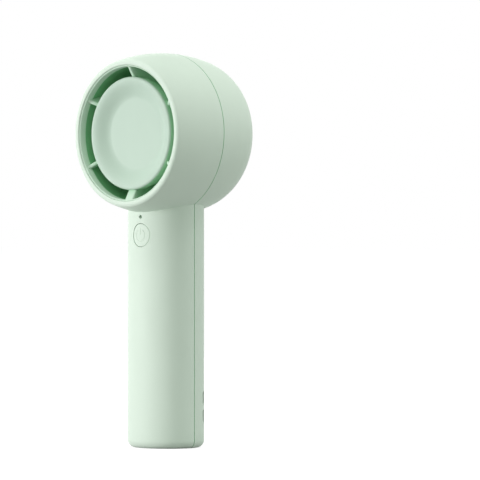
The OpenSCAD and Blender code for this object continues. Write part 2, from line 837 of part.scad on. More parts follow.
// Flared shroud round the impeller, with three ears
function shroud_side(y0, y1, out) =
    [for (y = between(y0, y1, curve_steps)) [shroud_radius(y) + out, y]];
module inlet_shroud() {
    color(inner_mint) difference() {
        union() {
            turn() polygon(concat(
                shroud_side(frame_rear_y, flare_y, 0),
                [[inlet_r, shroud_rear_y], [inlet_r + duct_t, shroud_rear_y]],
                shroud_side(flare_y, frame_rear_y, duct_t)
            ));
            difference() {
                each_shroud_screw() {
                    rod(shroud_ear_y, shroud_ear_y + shroud_ear_t, shroud_boss_r);
                    translate([-shroud_boss_r, shroud_ear_y, -shroud_screw_r + inlet_r])
                        cube([2 * shroud_boss_r, shroud_ear_t, shroud_screw_r - inlet_r]);
                }
                turn() polygon(concat(
                    shroud_side(frame_rear_y, flare_y, duct_t / 2),
                    [[0, flare_y], [0, frame_rear_y]]
                ));
            }
        }
        each_shroud_screw()
            rod(shroud_ear_y - lap, shroud_ear_y + shroud_ear_t + lap, motor_screw_d / 2 + screw_fit);
    }
}
// Pan-head screw that points towards -Y, its head's underside at y
module screw(y, l, d, head_d, head_h) {
    rod(y - l, y, d / 2);
    rod(y, y + head_h, head_d / 2);
}
module shroud_screws() {
    color(steel) each_shroud_screw()
        screw(shroud_ear_y + shroud_ear_t, shroud_ear_t + shroud_boss_l - lap, motor_screw_d,
            motor_screw_head_d, screw_head_h);
}
// Motor mount plate with the bearing tube
module motor_mount() {
    color(brass) difference() {
        union() {
            tube(plate_front_y, mount_y, shaft_d, plate_r);
            tube(tube_front_y, tube_spigot_y, shaft_d, tube_r);
        }
        on_axis() rod(tube_front_y - lap, tube_front_y + bearing_w, bearing_d / 2);
        on_axis() rod(rear_bearing_y, tube_spigot_y + lap, bearing_d / 2);
        each_motor_screw() rod(plate_front_y - lap, mount_y + lap, motor_screw_d / 2);
    }
}
module motor_screws() {
    color(steel) each_motor_screw()
        screw(pod_rear_y - screw_head_h, pod_end_t - screw_head_h + plate_t, motor_screw_d,
            motor_screw_head_d, screw_head_h);
}
// Ball bearing drawn as its two rings and shields in one
module bearing(y) {
    groove = 0.15;
    inner_ring = 0.6;
    outer_ring = 0.5;
    color(steel) turn() difference() {
        translate([shaft_d / 2 + shaft_fit, y])
            square([bearing_d / 2 - shaft_d / 2 - shaft_fit, bearing_w]);
        for (face = [y, y + bearing_w]) translate([shaft_d / 2 + inner_ring, face - groove])
            square([bearing_d / 2 - shaft_d / 2 - inner_ring - outer_ring, 2 * groove]);
    }
}
module front_bearing() {
    bearing(tube_front_y);
}
module rear_bearing() {
    bearing(rear_bearing_y);
}
// Toothed lamination stack pressed on the bearing tube
module tooth_bar(w) {
    translate([-w / 2, core_r - lap]) square([w, stator_r - tip_t - core_r + 2 * lap]);
}
module stator_core() {
    tip_share = 0.42;
    tip_angle = 360 / teeth * tip_share;
    color(magnet_grey) on_axis() plate(stator_front_y, stator_rear_y) difference() {
        union() {
            circle(core_r);
            for (i = [0 : teeth - 1]) rotate(360 * i / teeth) {
                tooth_bar(tooth_w);
                intersection() {
                    difference() {
                        circle(stator_r);
                        circle(stator_r - tip_t);
                    }
                    wedge(tip_angle);
                }
            }
        }
        circle(tube_r);
    }
}
module stator_windings() {
    coil_clear = 0.05;
    coil_l = sqrt(pow(stator_r - tip_t - coil_clear, 2) - pow(coil_w / 2, 2)) - core_r - coil_clear;
    color(copper) on_axis() for (i = [0 : teeth - 1]) rotate([0, -360 * i / teeth, 0]) difference() {
        translate([-coil_w / 2, stator_front_y - coil_over, core_r + coil_clear])
            cube([coil_w, stator_h + 2 * coil_over, coil_l]);
        translate([-tooth_w / 2 - coil_clear, stator_front_y - coil_clear, core_r])
            cube([tooth_w + 2 * coil_clear, stator_h + 2 * coil_clear, stator_r]);
    }
}
// Three leads from the stator, down through the wide vane and over the board's top edge.
// Their bends are multiples of the leads' pitch.
lead_r = 0.3;
lead_y = plate_front_y - lead_room / 2;
lead_pitch = 0.85;
lead_touch = 0.1;
// Radius at a share of the way from the rotor can to the pod's wall
function pod_way(y, share) = can_r + (pod_radius(y) - duct_t - can_r) * share;
function motor_route(i) = let (
    u = lead_pitch,
    bend_y = [for (n = [0.7, 2.6, 5, 7.35]) lead_y - n * u],
    down_y = lead_channel_y + 0.5 * u,
    neck_y = 2 * u - inside_y(0),
    board_x = (5.3 + 1.65 * i) * u
) [
    [1.5 * u * i, lead_y, head_z - core_r - 1.4 * u],
    [1.5 * u * i, lead_y, head_z - can_r + 1.4 * u],
    [1.5 * u * i, lead_y, head_z - can_r - 1.65 * u],
    [1.5 * u * i, bend_y[0], head_z - pod_way(bend_y[0], 0.6)],
    [1.4 * u * i, bend_y[1], head_z - pod_way(bend_y[1], 0.61) - 0.25 * u * i],
    [1.05 * u * i, bend_y[2], head_z - pod_way(bend_y[2], 0.63) - 0.6 * u * i],
    [0.5 * u * i, bend_y[3] + 0.35 * u * i, head_z - pod_way(bend_y[3], 0.735) - 0.8 * u * i],
    [0, down_y + 0.7 * u * i, head_z - pod_way(down_y, 0.83) - 0.7 * u * i],
    [0, lead_channel_y + u * i, head_z - pod_radius(lead_channel_y)],
    [0, lead_channel_y + u * i, head_z - frame_r - 0.35 * u],
    [0.35 * u * i, neck_y + 0.95 * u * i, neck_z + (3.5 + 0.25 * i) * u],
    [(0.6 + 1.05 * i) * u, neck_y + (1.55 + 0.5 * i) * u, neck_z + (2.35 + 0.35 * i) * u],
    [(1.75 + 1.4 * i) * u, neck_y + 4.35 * u, neck_z + 2.1 * u],
    [(4.1 + 1.65 * i) * u, neck_y + 9.05 * u, neck_z + 3.05 * u],
    [board_x, board_front_y - 0.95 * u, board_top_z + 1.4 * u],
    [board_x, board_rear_y + 0.7 * u, board_top_z + 1.65 * u],
    [board_x, board_rear_y + 1.75 * u, board_top_z],
    [board_x, board_rear_y + 1.2 * u, board_top_z - 1.65 * u],
    [board_x, board_rear_y + lead_touch + lead_r, board_top_z - 2.8 * u]
];
module motor_leads() {
    color(red) for (i = [-1 : 1]) lead(motor_route(i), lead_r);
}
// Impeller with a flared hub and swept blades
blade_front_set = 0.7;
blade_rear_set = 0.9;
blade_front_y = base_y + blade_front_set;
blade_rear_y = nose_tip_y - blade_rear_set;
blade_rows = 8;
blade_spans = 6;
tip_cut = 2.2;
tip_cut_share = 0.3;
first_blade = -12;
function blade_y(s) = blade_rear_y + (blade_front_y - blade_rear_y) * s;
function blade_tip(s) = tip_r - tip_cut * pow(max(0, 1 - s / tip_cut_share), 2);
function blade_root(s) = hub_radius(blade_y(s)) - hub_wall / 2;
function blade_radius(s, q) = blade_root(s) + (blade_tip(s) - blade_root(s)) * q;
function blade_half(s) = blade_t / 2 * (0.4 + 0.6 * sin(180 * (0.1 + 0.8 * s)));
function blade_point(s, q, k) = let (
    r = blade_radius(s, q),
    a = blade_wrap * s + blade_lean * pow(q, 3) + k * blade_half(s) / r * 180 / PI
) [-r * sin(a), blade_y(s), r * cos(a)];
module blade() {
    rows = blade_rows;
    spans = blade_spans;
    across = spans + 1;
    sheet = (rows + 1) * across;
    points = [for (k = [-1, 1]) for (i = [0 : rows]) for (j = [0 : spans])
        blade_point(i / rows, j / spans, k)];
    function at(k, i, j) = k * sheet + i * across + j;
    function quad(a, b, c, d) = [[a, c, b], [a, d, c]];
    faces = concat(
        [for (i = [0 : rows - 1]) for (j = [0 : spans - 1]) each concat(
            quad(at(0, i, j), at(0, i, j + 1), at(0, i + 1, j + 1), at(0, i + 1, j)),
            quad(at(1, i, j), at(1, i + 1, j), at(1, i + 1, j + 1), at(1, i, j + 1))
        )],
        [for (i = [0 : rows - 1]) each concat(
            quad(at(0, i, 0), at(0, i + 1, 0), at(1, i + 1, 0), at(1, i, 0)),
            quad(at(0, i, spans), at(1, i, spans), at(1, i + 1, spans), at(0, i + 1, spans))
        )],
        [for (j = [0 : spans - 1]) each concat(
            quad(at(0, 0, j), at(1, 0, j), at(1, 0, j + 1), at(0, 0, j + 1)),
            quad(at(0, rows, j), at(0, rows, j + 1), at(1, rows, j + 1), at(1, rows, j))
        )]
    );
    polyhedron(points, faces);
}
module impeller() {
    boss_r = bush_r + hub_wall;
    color(inner_mint) difference() {
        union() {
            turn() polygon(concat(
                [[0, base_y]],
                [for (y = between(base_y, nose_tip_y, curve_steps)) [hub_radius(y), y]],
                [[0, nose_tip_y]]
            ));
            on_axis() for (i = [0 : blades - 1]) rotate([0, -first_blade - 360 * i / blades, 0]) blade();
        }
        on_axis() rod(base_y - lap, base_y + bush_l, bush_r);
        on_axis() rod(base_y, shaft_rear_y, shaft_d / 2);
        tube(base_y - lap, base_y + hollow_l, boss_r, hub_radius(base_y + hollow_l) - hub_wall);
    }
}
module impeller_bush() {
    color(brass) tube(base_y, base_y + bush_l, shaft_d / 2, bush_r);
}
module rotor_can() {
    color(steel) {
        tube(can_front_y, can_inner_y, shaft_d / 2, can_r);
        tube(can_front_y, can_rear_y, can_r - can_t, can_r);
    }
}
module magnet_ring() {
    magnet_r = can_r - can_t;
    color(magnet_grey) tube(stator_front_y - coil_over, can_rear_y - lap / 2, magnet_r - magnet_t, magnet_r);
}
module shaft() {
    color(steel) on_axis() rod(can_front_y, shaft_rear_y, shaft_d / 2);
}
module shaft_clip() {
    color(steel) tube(clip_y, clip_y + clip_t, shaft_d / 2, clip_r);
}
// Cradle that holds the cell and carries the board on two rails
module at_cell() {
    translate([0, -cell_set, 0]) children();
}
module battery_cradle() {
    outer = cradle_r + cradle_t;
    color(dark_plastic) difference() {
        union() {
            at_cell() difference() {
                translate([0, 0, cradle_floor_z])
                    cylinder(h = cradle_top_z + cradle_t - cradle_floor_z, r = outer);
                translate([0, 0, pad_z]) cylinder(h = cradle_top_z - pad_z, r = cradle_r);
                translate([-far, 0, pad_z]) cube([2 * far, far, cradle_top_z - pad_z]);
            }
            for (side = [-1, 1]) {
                translate([side * rail_x - rail_w / 2, board_front_y - rail_d, cradle_top_z])
                    cube([rail_w, rail_d, rail_top_z - cradle_top_z]);
                for (z = ear_z) translate([side * ear_x, 0, z]) {
                    rod(ear_y, ear_y + ear_t, ear_r);
                    translate([side > 0 ? -ear_x + cradle_r : 0, ear_y, -ear_h / 2])
                        cube([ear_x - cradle_r, ear_t, ear_h]);
                }
            }
        }
        each_ear() rod(ear_y - lap, ear_y + ear_t + lap, screw_r + screw_fit);
        for (side = [-1, 1], z = board_screw_z) translate([side * rail_x, 0, z])
            rod(board_front_y - board_screw_l, board_front_y + lap, board_screw_d / 2);
        at_cell() translate([tab_x - tab_w, cradle_r - tab_w, cradle_top_z - lap])
            cube([2 * tab_w, far, cradle_t + 2 * lap]);
    }
}
module cradle_screws() {
    color(steel) each_ear()
        screw(ear_y + ear_t, ear_t + boss_d - lap, screw_d, screw_head_d, screw_head_h);
}
cell_pole_r = 3.5;
cell_pole_h = 0.5;
module battery_cell() {
    color(steel) at_cell() translate([0, 0, cell_z]) {
        cylinder(h = cell_h - cell_pole_h, r = cell_d / 2);
        cylinder(h = cell_h, r = cell_pole_r);
    }
}
module battery_sleeve() {
    color(sleeve_blue) at_cell() translate([0, 0, cell_z]) difference() {
        cylinder(h = cell_h - cell_pole_h, r = cell_d / 2 + sleeve_t);
        translate([0, 0, -lap]) cylinder(h = cell_h, r = cell_d / 2);
    }
}
tab_w = 2.5;
tab_x = -3;
tab_inset = 1;
module battery_tabs() {
    color(nickel) at_cell() for (z = [tab_z, cell_top_z]) translate([0, 0, z]) {
        translate([tab_x - tab_w, -tab_w, 0]) cube([2 * tab_w, cell_d / 2 + tab_w - tab_inset, tab_t]);
    }
}
module battery_pads() {
    pad_inset = 3;
    color(foam_grey) at_cell() for (z = [pad_z, pad_top_z])
        translate([0, 0, z]) cylinder(h = pad_t, r = cell_d / 2 - pad_inset);
}
// Leads from the cell's tabs to the board's rear face.
// Their bends are multiples of the leads' radius.
battery_lead_r = 0.5;
pad_touch = lead_touch + battery_lead_r;
tab_end_y = cell_d / 2 - tab_inset - cell_set;
// How far behind the cell the negative lead runs up
lead_back_y = cell_d / 2 + sleeve_t - cell_set + 2.7 * battery_lead_r;
lead_board_y = board_rear_y + pad_touch;
positive_route = let (u = battery_lead_r, z = cell_top_z) [
    [tab_x, tab_end_y - 1.8 * u, z + tab_t + pad_touch],
    [tab_x, tab_end_y - 0.6 * u, z + 5.2 * u],
    [tab_x, tab_end_y - 0.2 * u, z + 10 * u],
    [tab_x, tab_end_y - u, z + 13.2 * u],
    [tab_x, lead_board_y + 1.6 * u, z + 15.6 * u],
    [tab_x, lead_board_y, z + 18.8 * u]
];
negative_route = let (u = battery_lead_r, x = tab_x - 4 * u, z = cell_top_z) [
    [x, tab_end_y - 1.8 * u, tab_z - pad_touch],
    [x, lead_back_y - 4 * u, tab_z - pad_touch],
    [x, lead_back_y - 1.6 * u, tab_z + 0.4 * u],
    [x, lead_back_y - 0.2 * u, tab_z + 4 * u],
    [x, lead_back_y, tab_z + 10 * u],
    [x, lead_back_y, z - 16 * u],
    [x, lead_back_y - 0.2 * u, z],
    [x, lead_back_y - 2 * u, z + 10 * u],
    [x, lead_back_y - 6 * u, z + 14.8 * u],
    [x, lead_board_y + 1.6 * u, z + 16.4 * u],
    [x, lead_board_y, z + 18.8 * u]
];
module battery_lead_positive() {
    color(red) lead(positive_route, battery_lead_r);
}
module battery_lead_negative() {
    color(black) lead(negative_route, battery_lead_r);
}
module control_board() {
    color(board_green) difference() {
        translate([-board_w / 2, board_front_y, board_z]) cube([board_w, board_t, board_h]);
        for (side = [-1, 1], z = board_screw_z) translate([side * rail_x, 0, z])
            rod(board_front_y - lap, board_rear_y + lap, board_screw_d / 2 + screw_fit);
    }
}
module board_screws() {
    color(steel) for (side = [-1, 1], z = board_screw_z) translate([side * rail_x, 0, z])
        screw(board_rear_y, board_t + board_screw_l, board_screw_d, board_head_d, board_head_h);
}
// Chips on the board: [x, height above its lower edge, width, height, thickness]
rear_chips = [
    [4.6, 7.2, 4, 4, 0.9], [-3.6, 10, 2.4, 1.8, 0.8], [0.4, 3.4, 3, 2, 0.8], [4.4, 2.8, 2.4, 1.8, 0.6]
];
front_chips = [[4.9, 14.4, 3, 3, 0.9], [-5, 16, 2.6, 2.2, 1.2], [-5.2, 10, 1.6, 2.4, 0.6]];
module board_chips() {
    color(chip_black) {
        for (c = rear_chips) translate([c[0] - c[2] / 2, board_rear_y, board_z + c[1] - c[3] / 2])
            cube([c[2], c[4], c[3]]);
        for (c = front_chips) translate([c[0] - c[2] / 2, board_front_y - c[4], board_z + c[1] - c[3] / 2])
            cube([c[2], c[4], c[3]]);
    }
}
// Charging socket that stands up from the board, and its contact tongue
usb_mouth_y = board_rear_y + usb_l;
usb_deep = 6.2;
module usb_socket() {
    color(chip_black) translate([0, 0, usb_z]) difference() {
        plate(board_rear_y, usb_mouth_y) rotate(90) slot(usb_h, usb_w);
        plate(usb_mouth_y - usb_deep, usb_mouth_y + lap)
            rotate(90) slot(usb_h - 2 * usb_t, usb_w - 2 * usb_t);
    }
}
module usb_tongue() {
    color(dark_plastic) translate([-usb_tongue_w / 2, usb_mouth_y - usb_deep, usb_z - usb_tongue_t / 2])
        cube([usb_tongue_w, usb_deep - usb_tongue_set, usb_tongue_t]);
}
usb_tongue_w = 6.69;
usb_tongue_t = 0.7;
usb_tongue_set = 0.6;
// Push switch, its plunger and the button on top
module switch_body() {
    color(chip_black) translate([0, 0, button_z]) difference() {
        translate([-switch_w / 2, switch_front_y, -switch_w / 2]) cube([switch_w, switch_h, switch_w]);
        rod(switch_front_y - lap, switch_front_y + plunger_l, plunger_r + button_gap);
    }
}
module switch_plunger() {
    color(white_plastic) translate([0, 0, button_z])
        rod(switch_front_y - plunger_l, switch_front_y + plunger_l / 2, plunger_r);
}
// Power sign: an open ring with an upright bar
module power_sign() {
    gap = 35;
    difference() {
        circle(symbol_r + symbol_w / 2);
        circle(symbol_r - symbol_w / 2);
        wedge(gap);
    }
    foot = symbol_r / 4;
    translate([-symbol_w / 2, foot]) square([symbol_w, symbol_r]);
}
module button_cap() {
    face_y = -half_d + button_set;
    color(mint) {
        difference() {
            intersection() {
                translate([0, 0, button_z]) rod(-half_d - lap, button_flange_y + button_flange_t, button_r);
                handle(button_set);
            }
            translate([0, 0, button_z]) plate(face_y - lap, face_y + symbol_depth) power_sign();
        }
        translate([0, 0, button_z]) rod(button_flange_y, button_flange_y + button_flange_t, button_flange_r);
        translate([0, 0, button_z]) rod(button_flange_y, switch_front_y - plunger_l, button_post_r);
    }
}
module status_led() {
    chip = [1.6, led_h, 0.8];
    color(white_plastic) translate([-chip[0] / 2, board_front_y - led_h, led_z - chip[2] / 2]) cube(chip);
}
module light_pipe() {
    color(board_green) translate([0, 0, led_z]) {
        rod(-half_d + button_set, -inside_y(0), led_d / 2);
        rod(-inside_y(0), board_front_y - led_h - led_gap, pipe_r);
    }
}

front_shell();
rear_shell();
inlet_grille();
grille_cap();
outlet_frame();
front_disc();
inlet_shroud();
shroud_screws();
motor_mount();
motor_screws();
front_bearing();
rear_bearing();
stator_core();
stator_windings();
motor_leads();
impeller();
impeller_bush();
rotor_can();
magnet_ring();
shaft();
shaft_clip();
battery_cradle();
cradle_screws();
battery_cell();
battery_sleeve();
battery_tabs();
battery_pads();
battery_lead_positive();
battery_lead_negative();
control_board();
board_screws();
board_chips();
usb_socket();
usb_tongue();
switch_body();
switch_plunger();
button_cap();
status_led();
light_pipe();
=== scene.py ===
"""Handheld electric fan: finished meshes, materials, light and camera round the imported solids."""
from math import asin, atan2, cos, hypot, pi, radians, sin, sqrt

import bmesh
import bpy
from mathutils import Matrix, Vector


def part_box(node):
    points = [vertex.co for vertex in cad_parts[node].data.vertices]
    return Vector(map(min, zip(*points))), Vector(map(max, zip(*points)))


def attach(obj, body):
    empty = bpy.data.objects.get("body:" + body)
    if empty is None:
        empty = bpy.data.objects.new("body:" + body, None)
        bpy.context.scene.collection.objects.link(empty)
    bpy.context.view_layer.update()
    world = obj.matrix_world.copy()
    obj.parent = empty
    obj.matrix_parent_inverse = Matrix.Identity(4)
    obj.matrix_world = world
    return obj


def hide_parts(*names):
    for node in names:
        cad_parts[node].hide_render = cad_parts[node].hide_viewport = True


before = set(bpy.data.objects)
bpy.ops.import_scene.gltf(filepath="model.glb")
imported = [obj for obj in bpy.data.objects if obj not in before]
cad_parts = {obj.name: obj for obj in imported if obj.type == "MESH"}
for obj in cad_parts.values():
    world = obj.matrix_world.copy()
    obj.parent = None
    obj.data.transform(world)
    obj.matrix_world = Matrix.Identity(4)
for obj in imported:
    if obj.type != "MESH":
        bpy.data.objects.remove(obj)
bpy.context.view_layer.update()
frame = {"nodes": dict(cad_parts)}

bl_info = {
    "name": "Handheld Fan",
    "version": (1, 0, 0),
    "blender": (4, 5, 0),
    "location": "View3D > Sidebar > Fan",
    "description": "Builds the finish of a handheld electric fan",
    "category": "Object",
}

MM = 0.001
TINY = 1e-7

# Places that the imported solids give
AXIS_Z = sum(p.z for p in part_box("rotor_can")) / 2
REAR_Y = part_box("rear_shell")[1].y
FRONT_Y = -REAR_Y
DISC_LOW, DISC_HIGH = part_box("front_disc")
FRAME_LOW, FRAME_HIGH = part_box("outlet_frame")
SHROUD_LOW, SHROUD_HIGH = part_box("inlet_shroud")
GRILLE_LOW, GRILLE_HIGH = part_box("inlet_grille")
IMPELLER_LOW, IMPELLER_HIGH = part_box("impeller")
BUTTON_LOW, BUTTON_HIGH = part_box("button_cap")
SOCKET_LOW, SOCKET_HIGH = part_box("usb_socket")
TONGUE_LOW, TONGUE_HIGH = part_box("usb_tongue")
PIPE_LOW, PIPE_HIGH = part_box("light_pipe")
BUTTON_Z = (BUTTON_LOW.z + BUTTON_HIGH.z) / 2
SOCKET_Z = (SOCKET_LOW.z + SOCKET_HIGH.z) / 2
PIPE_Z = (PIPE_LOW.z + PIPE_HIGH.z) / 2
FLANGE_RADIUS = (BUTTON_HIGH.x - BUTTON_LOW.x) / 2
SOCKET_WIDTH = SOCKET_HIGH.x - SOCKET_LOW.x
SOCKET_HEIGHT = SOCKET_HIGH.z - SOCKET_LOW.z

# Small sizes that several pieces share
GAP = 0.05 * MM
SKIRT_WALL = 0.55 * MM
HEAD_STEPS = 320


def linear(red, green, blue):
    """A colour written from 0 to 255 as it looks on screen, in linear light."""
    return tuple(
        (c / 255 / 12.92) if c <= 10 else ((c / 255 + 0.055) / 1.055) ** 2.4
        for c in (red, green, blue)
    )


def length(name, description, millimetres):
    return bpy.props.FloatProperty(
        name=name, description=description, default=millimetres * MM, unit="LENGTH", precision=5
    )


def degrees(name, description, default):
    return bpy.props.FloatProperty(
        name=name, description=description, default=radians(default), subtype="ANGLE"
    )


def colour(name, description, default):
    return bpy.props.FloatVectorProperty(
        name=name, description=description, default=default, subtype="COLOR", min=0, max=1
    )


class FanShellSizes(bpy.types.PropertyGroup):
    """Sizes of the two shells."""

    head_radius: length("Head radius", "Largest radius of the round head", 32)
    belly_radius: length("Side arc", "Radius of the long arc along the head's side", 68.08)
    apex: length("Widest place", "Where along the axis the head is widest", -1.5)
    shoulder_at: length("Shoulder start", "Where the side arc gives way to the shoulder", 14.5)
    shoulder_radius: length("Shoulder", "Radius of the rear shoulder", 19)
    nose_radius: length("Inlet rim", "Radius of the rounded rim round the inlet", 1.5)
    lip_round: length("Outlet lip", "Radius of the rounded lip round the outlet", 1.3)
    lip_thickness: length("Lip thickness", "Thickness of the lip along the axis", 2.2)
    lip_edge: length("Lip edge", "Rounding of the lip's inner edge", 0.35)
    wall: length("Wall", "Wall of the two shells", 1.8)
    seam_gap: length("Seam", "Width of the line between the shells", 0.3)
    lap_depth: length("Tongue reach", "How far the rear shell's tongue reaches into the front shell", 2)
    lap_thickness: length("Tongue step", "Depth of the step that the tongue lies in", 0.8)
    lap_gap: length("Tongue clearance", "Clearance round the tongue", 0.1)
    handle_width: length("Handle width", "Width of the oval handle", 31.6)
    handle_depth: length("Handle depth", "Depth of the oval handle", 28.4)
    base_round: length("Base rounding", "Rounding of the handle's bottom edge", 3)
    slot_width: length("Lanyard slot width", "Width of a lanyard slot", 5)
    slot_height: length("Lanyard slots height", "Height of both slots together", 12.8)
    slot_round: length("Lanyard slot ends", "Rounding of the slots' outer corners", 1.8)
    bar_round: length("Lanyard bar corners", "Rounding of the slots' corners beside the bar", 0.9)
    bar_height: length("Lanyard bar height", "Height of the bar between the slots", 1.8)
    bar_thickness: length("Lanyard bar thickness", "Thickness of the bar", 2)
    pocket_depth: length("Lanyard pocket", "Depth of the pocket behind the slots", 4.6)
    slot_height_at: length("Lanyard bar place", "Height of the bar's middle", 15.9)
    slot_turn: degrees("Lanyard turn", "Turn of the slots round the handle", 33)


class FanAirSizes(bpy.types.PropertyGroup):
    """Sizes of the inlet, the outlet and the impeller."""

    inlet_radius: length("Inlet radius", "Radius of the open inlet", 18.3)
    grille_radius: length("Grille radius", "Outer radius of the grille where it shows", 20.8)
    grille_gap: length("Grille gap", "Gap round the grille and its cap", 0.05)
    funnel_depth: length("Funnel depth", "Depth of the funnel down to the grille", 5.7)
    grille_bore: length("Grille bore", "Length of the bore that holds the grille", 1.8)
    ring_drop: length("Grille slope", "How far the grille's ring slopes inwards", 1.6)
    spoke_width: length("Spoke width", "Width of a spoke", 1.4)
    spoke_thickness: length("Spoke thickness", "Thickness of a spoke", 2.2)
    spoke_offset: length("Spoke offset", "How far the spokes are set beside the centre", 2)
    spoke_lap: length("Spoke lap", "How far the spokes lie over the ring", 0.8)
    spokes: bpy.props.IntProperty(name="Spokes", description="Number of spokes", default=16)
    spoke_turn: degrees("Spoke turn", "Turn of the first spoke", 12.8)
    hub_radius: length("Grille hub", "Radius of the grille's hub", 5.8)
    hub_thickness: length("Grille hub thickness", "Thickness of the grille's hub", 2.6)
    cap_radius: length("Cap radius", "Radius of the cap in the hub", 3.9)
    outlet_radius: length("Outlet radius", "Radius of the outlet's open edge", 26.1)
    ring_thickness: length("Outlet ring", "Radial thickness of the outlet ring", 0.6)
    ring_depth: length("Outlet ring depth", "Depth of the ring's narrow part", 3)
    ring_step: length("Outlet step", "How much wider the outlet is behind the ring", 0.4)
    dish_depth: length("Dish depth", "Depth of the dish in the disc", 3.4)
    dish_radius: length("Dish flat", "Radius of the flat in the dish", 13.5)
    disc_round: length("Disc rounding", "Rounding of the disc's rim", 0.9)
    disc_thickness: length("Disc thickness", "Thickness of the disc", 1.4)
    skirt: length("Disc skirt", "Length of the disc's skirt", 3.5)
    duct_wall: length("Duct wall", "Wall of the pod and the shroud", 1.2)
    flare_at: length("Flare start", "Where the shroud starts to widen", 6)
    pod_rear_radius: length("Pod rear", "Radius of the pod's rear wall", 12)
    pod_end: length("Pod end", "Thickness of the pod's rear wall", 1.8)
    vane_thickness: length("Vane thickness", "Thickness of a guide vane", 1.5)
    lead_vane: length("Lower vane", "Thickness of the vane that carries the leads", 4.4)
    vane_bend: length("Vane bend", "Bend radius of the vanes", 20)
    vane_set: length("Vane set", "How far a vane's corner lies behind the lip", 1.5)
    vane_slope: length("Vane slope", "How far a vane's edge slopes back", 2.3)
    blades: bpy.props.IntProperty(name="Blades", description="Number of blades", default=7)
    blade_thickness: length("Blade", "Thickness of a blade", 1)
    tip_radius: length("Blade tips", "Radius of the blade tips", 17.4)
    nose_radius: length("Impeller nose", "Radius of the impeller's nose", 4.6)


class FanLooks(bpy.types.PropertyGroup):
    """Colours of the fan."""

    shell: colour("Shell", "Satin plastic of the shells", linear(219, 234, 220))
    # Disc colour: the disc's mint, set darker than the shell's as painted shade for its recess in the
    # outlet.
    disc: colour("Disc", "Dished disc in the outlet", linear(193, 213, 198))
    grille: colour("Grille", "Inlet grille and its cap", linear(216, 232, 217))
    frame: colour("Outlet ring", "Outlet ring and guide vanes", linear(205, 226, 208))
    # Pod colour: a deeper green used as painted shade on the pod, the disc's skirt, in the seam and on the
    # deep parts of the vanes and grille.
    pod: colour("Pod", "Motor pod and the deep part of the vanes", linear(190, 230, 198))
    # Duct colour: a dark green that paints the shade and green inter-reflection inside the duct; the real
    # walls share the shell's mint.
    duct: colour("Duct", "Walls of the air duct", linear(134, 198, 146))
    # Slots colour: painted shade for the recessed walls of the lanyard slots.
    slot: colour("Slots", "Inside of the lanyard slots", linear(116, 160, 121))
    # Impeller colour: the mint, set darker and greener as painted shade and inter-reflection inside the
    # shroud.
    impeller: colour("Impeller", "Blades and hub", linear(178, 222, 186))
    button: colour("Button", "Push button", linear(219, 234, 220))
    socket: colour("Socket", "Charging socket", linear(14, 14, 14))
    indicator: colour("Indicator", "Light pipe above the button", linear(66, 112, 72))
    floor: colour("Floor", "Pale floor", linear(246, 247, 246))


class FanSettings(bpy.types.PropertyGroup):
    """All the settings of the fan."""

    shell: bpy.props.PointerProperty(type=FanShellSizes, name="Shells", description="Shell sizes")
    air: bpy.props.PointerProperty(type=FanAirSizes, name="Air path", description="Air path sizes")
    looks: bpy.props.PointerProperty(type=FanLooks, name="Colours", description="Colours")


# Outlines of (radius, y) points round the fan's axis


def spread(start, end, steps):
    return [start + (end - start) * i / steps for i in range(steps + 1)]


def arc(centre, radius, start, end, steps):
    """Points along an arc; angles in radians from the outward direction towards the rear."""
    turns = spread(start, end, steps)
    return [(centre[0] + radius * cos(a), centre[1] + radius * sin(a)) for a in turns]


def clamp(t):
    return min(1, max(0, t))


def ease(t):
    return (1 - cos(pi * clamp(t))) / 2


def belly_centre(shell):
    return shell.head_radius - shell.belly_radius, shell.apex


def belly_angle(shell, y, inset=0.0):
    return asin((y - shell.apex) / (shell.belly_radius - inset))


def belly_radius_at(shell, y, inset=0.0):
    return belly_centre(shell)[0] + sqrt((shell.belly_radius - inset) ** 2 - (y - shell.apex) ** 2)


def front_head_outline(shell, air):
    """Front half of the head: side arc, rounded lip and the bore that takes the outlet ring."""
    centre = belly_centre(shell)
    seam = -shell.seam_gap / 2
    bore = air.outlet_radius + air.ring_thickness + air.grille_gap / 2
    lip_y = FRONT_Y + shell.lip_round
    lip = (belly_radius_at(shell, lip_y, shell.lip_round), lip_y)
    join = belly_angle(shell, lip_y, shell.lip_round)
    soft = shell.lip_edge
    back = FRONT_Y + shell.lip_thickness
    inner = shell.belly_radius - shell.wall
    return (
        arc(centre, shell.belly_radius, belly_angle(shell, seam), join, 40)
        + arc(lip, shell.lip_round, join, -pi / 2, 16)[1:]
        + arc((bore + soft, FRONT_Y + soft), soft, -pi / 2, -pi, 8)
        + [(bore, back)]
        + arc(centre, inner, belly_angle(shell, back, shell.wall), belly_angle(shell, seam, shell.wall), 16)
    )


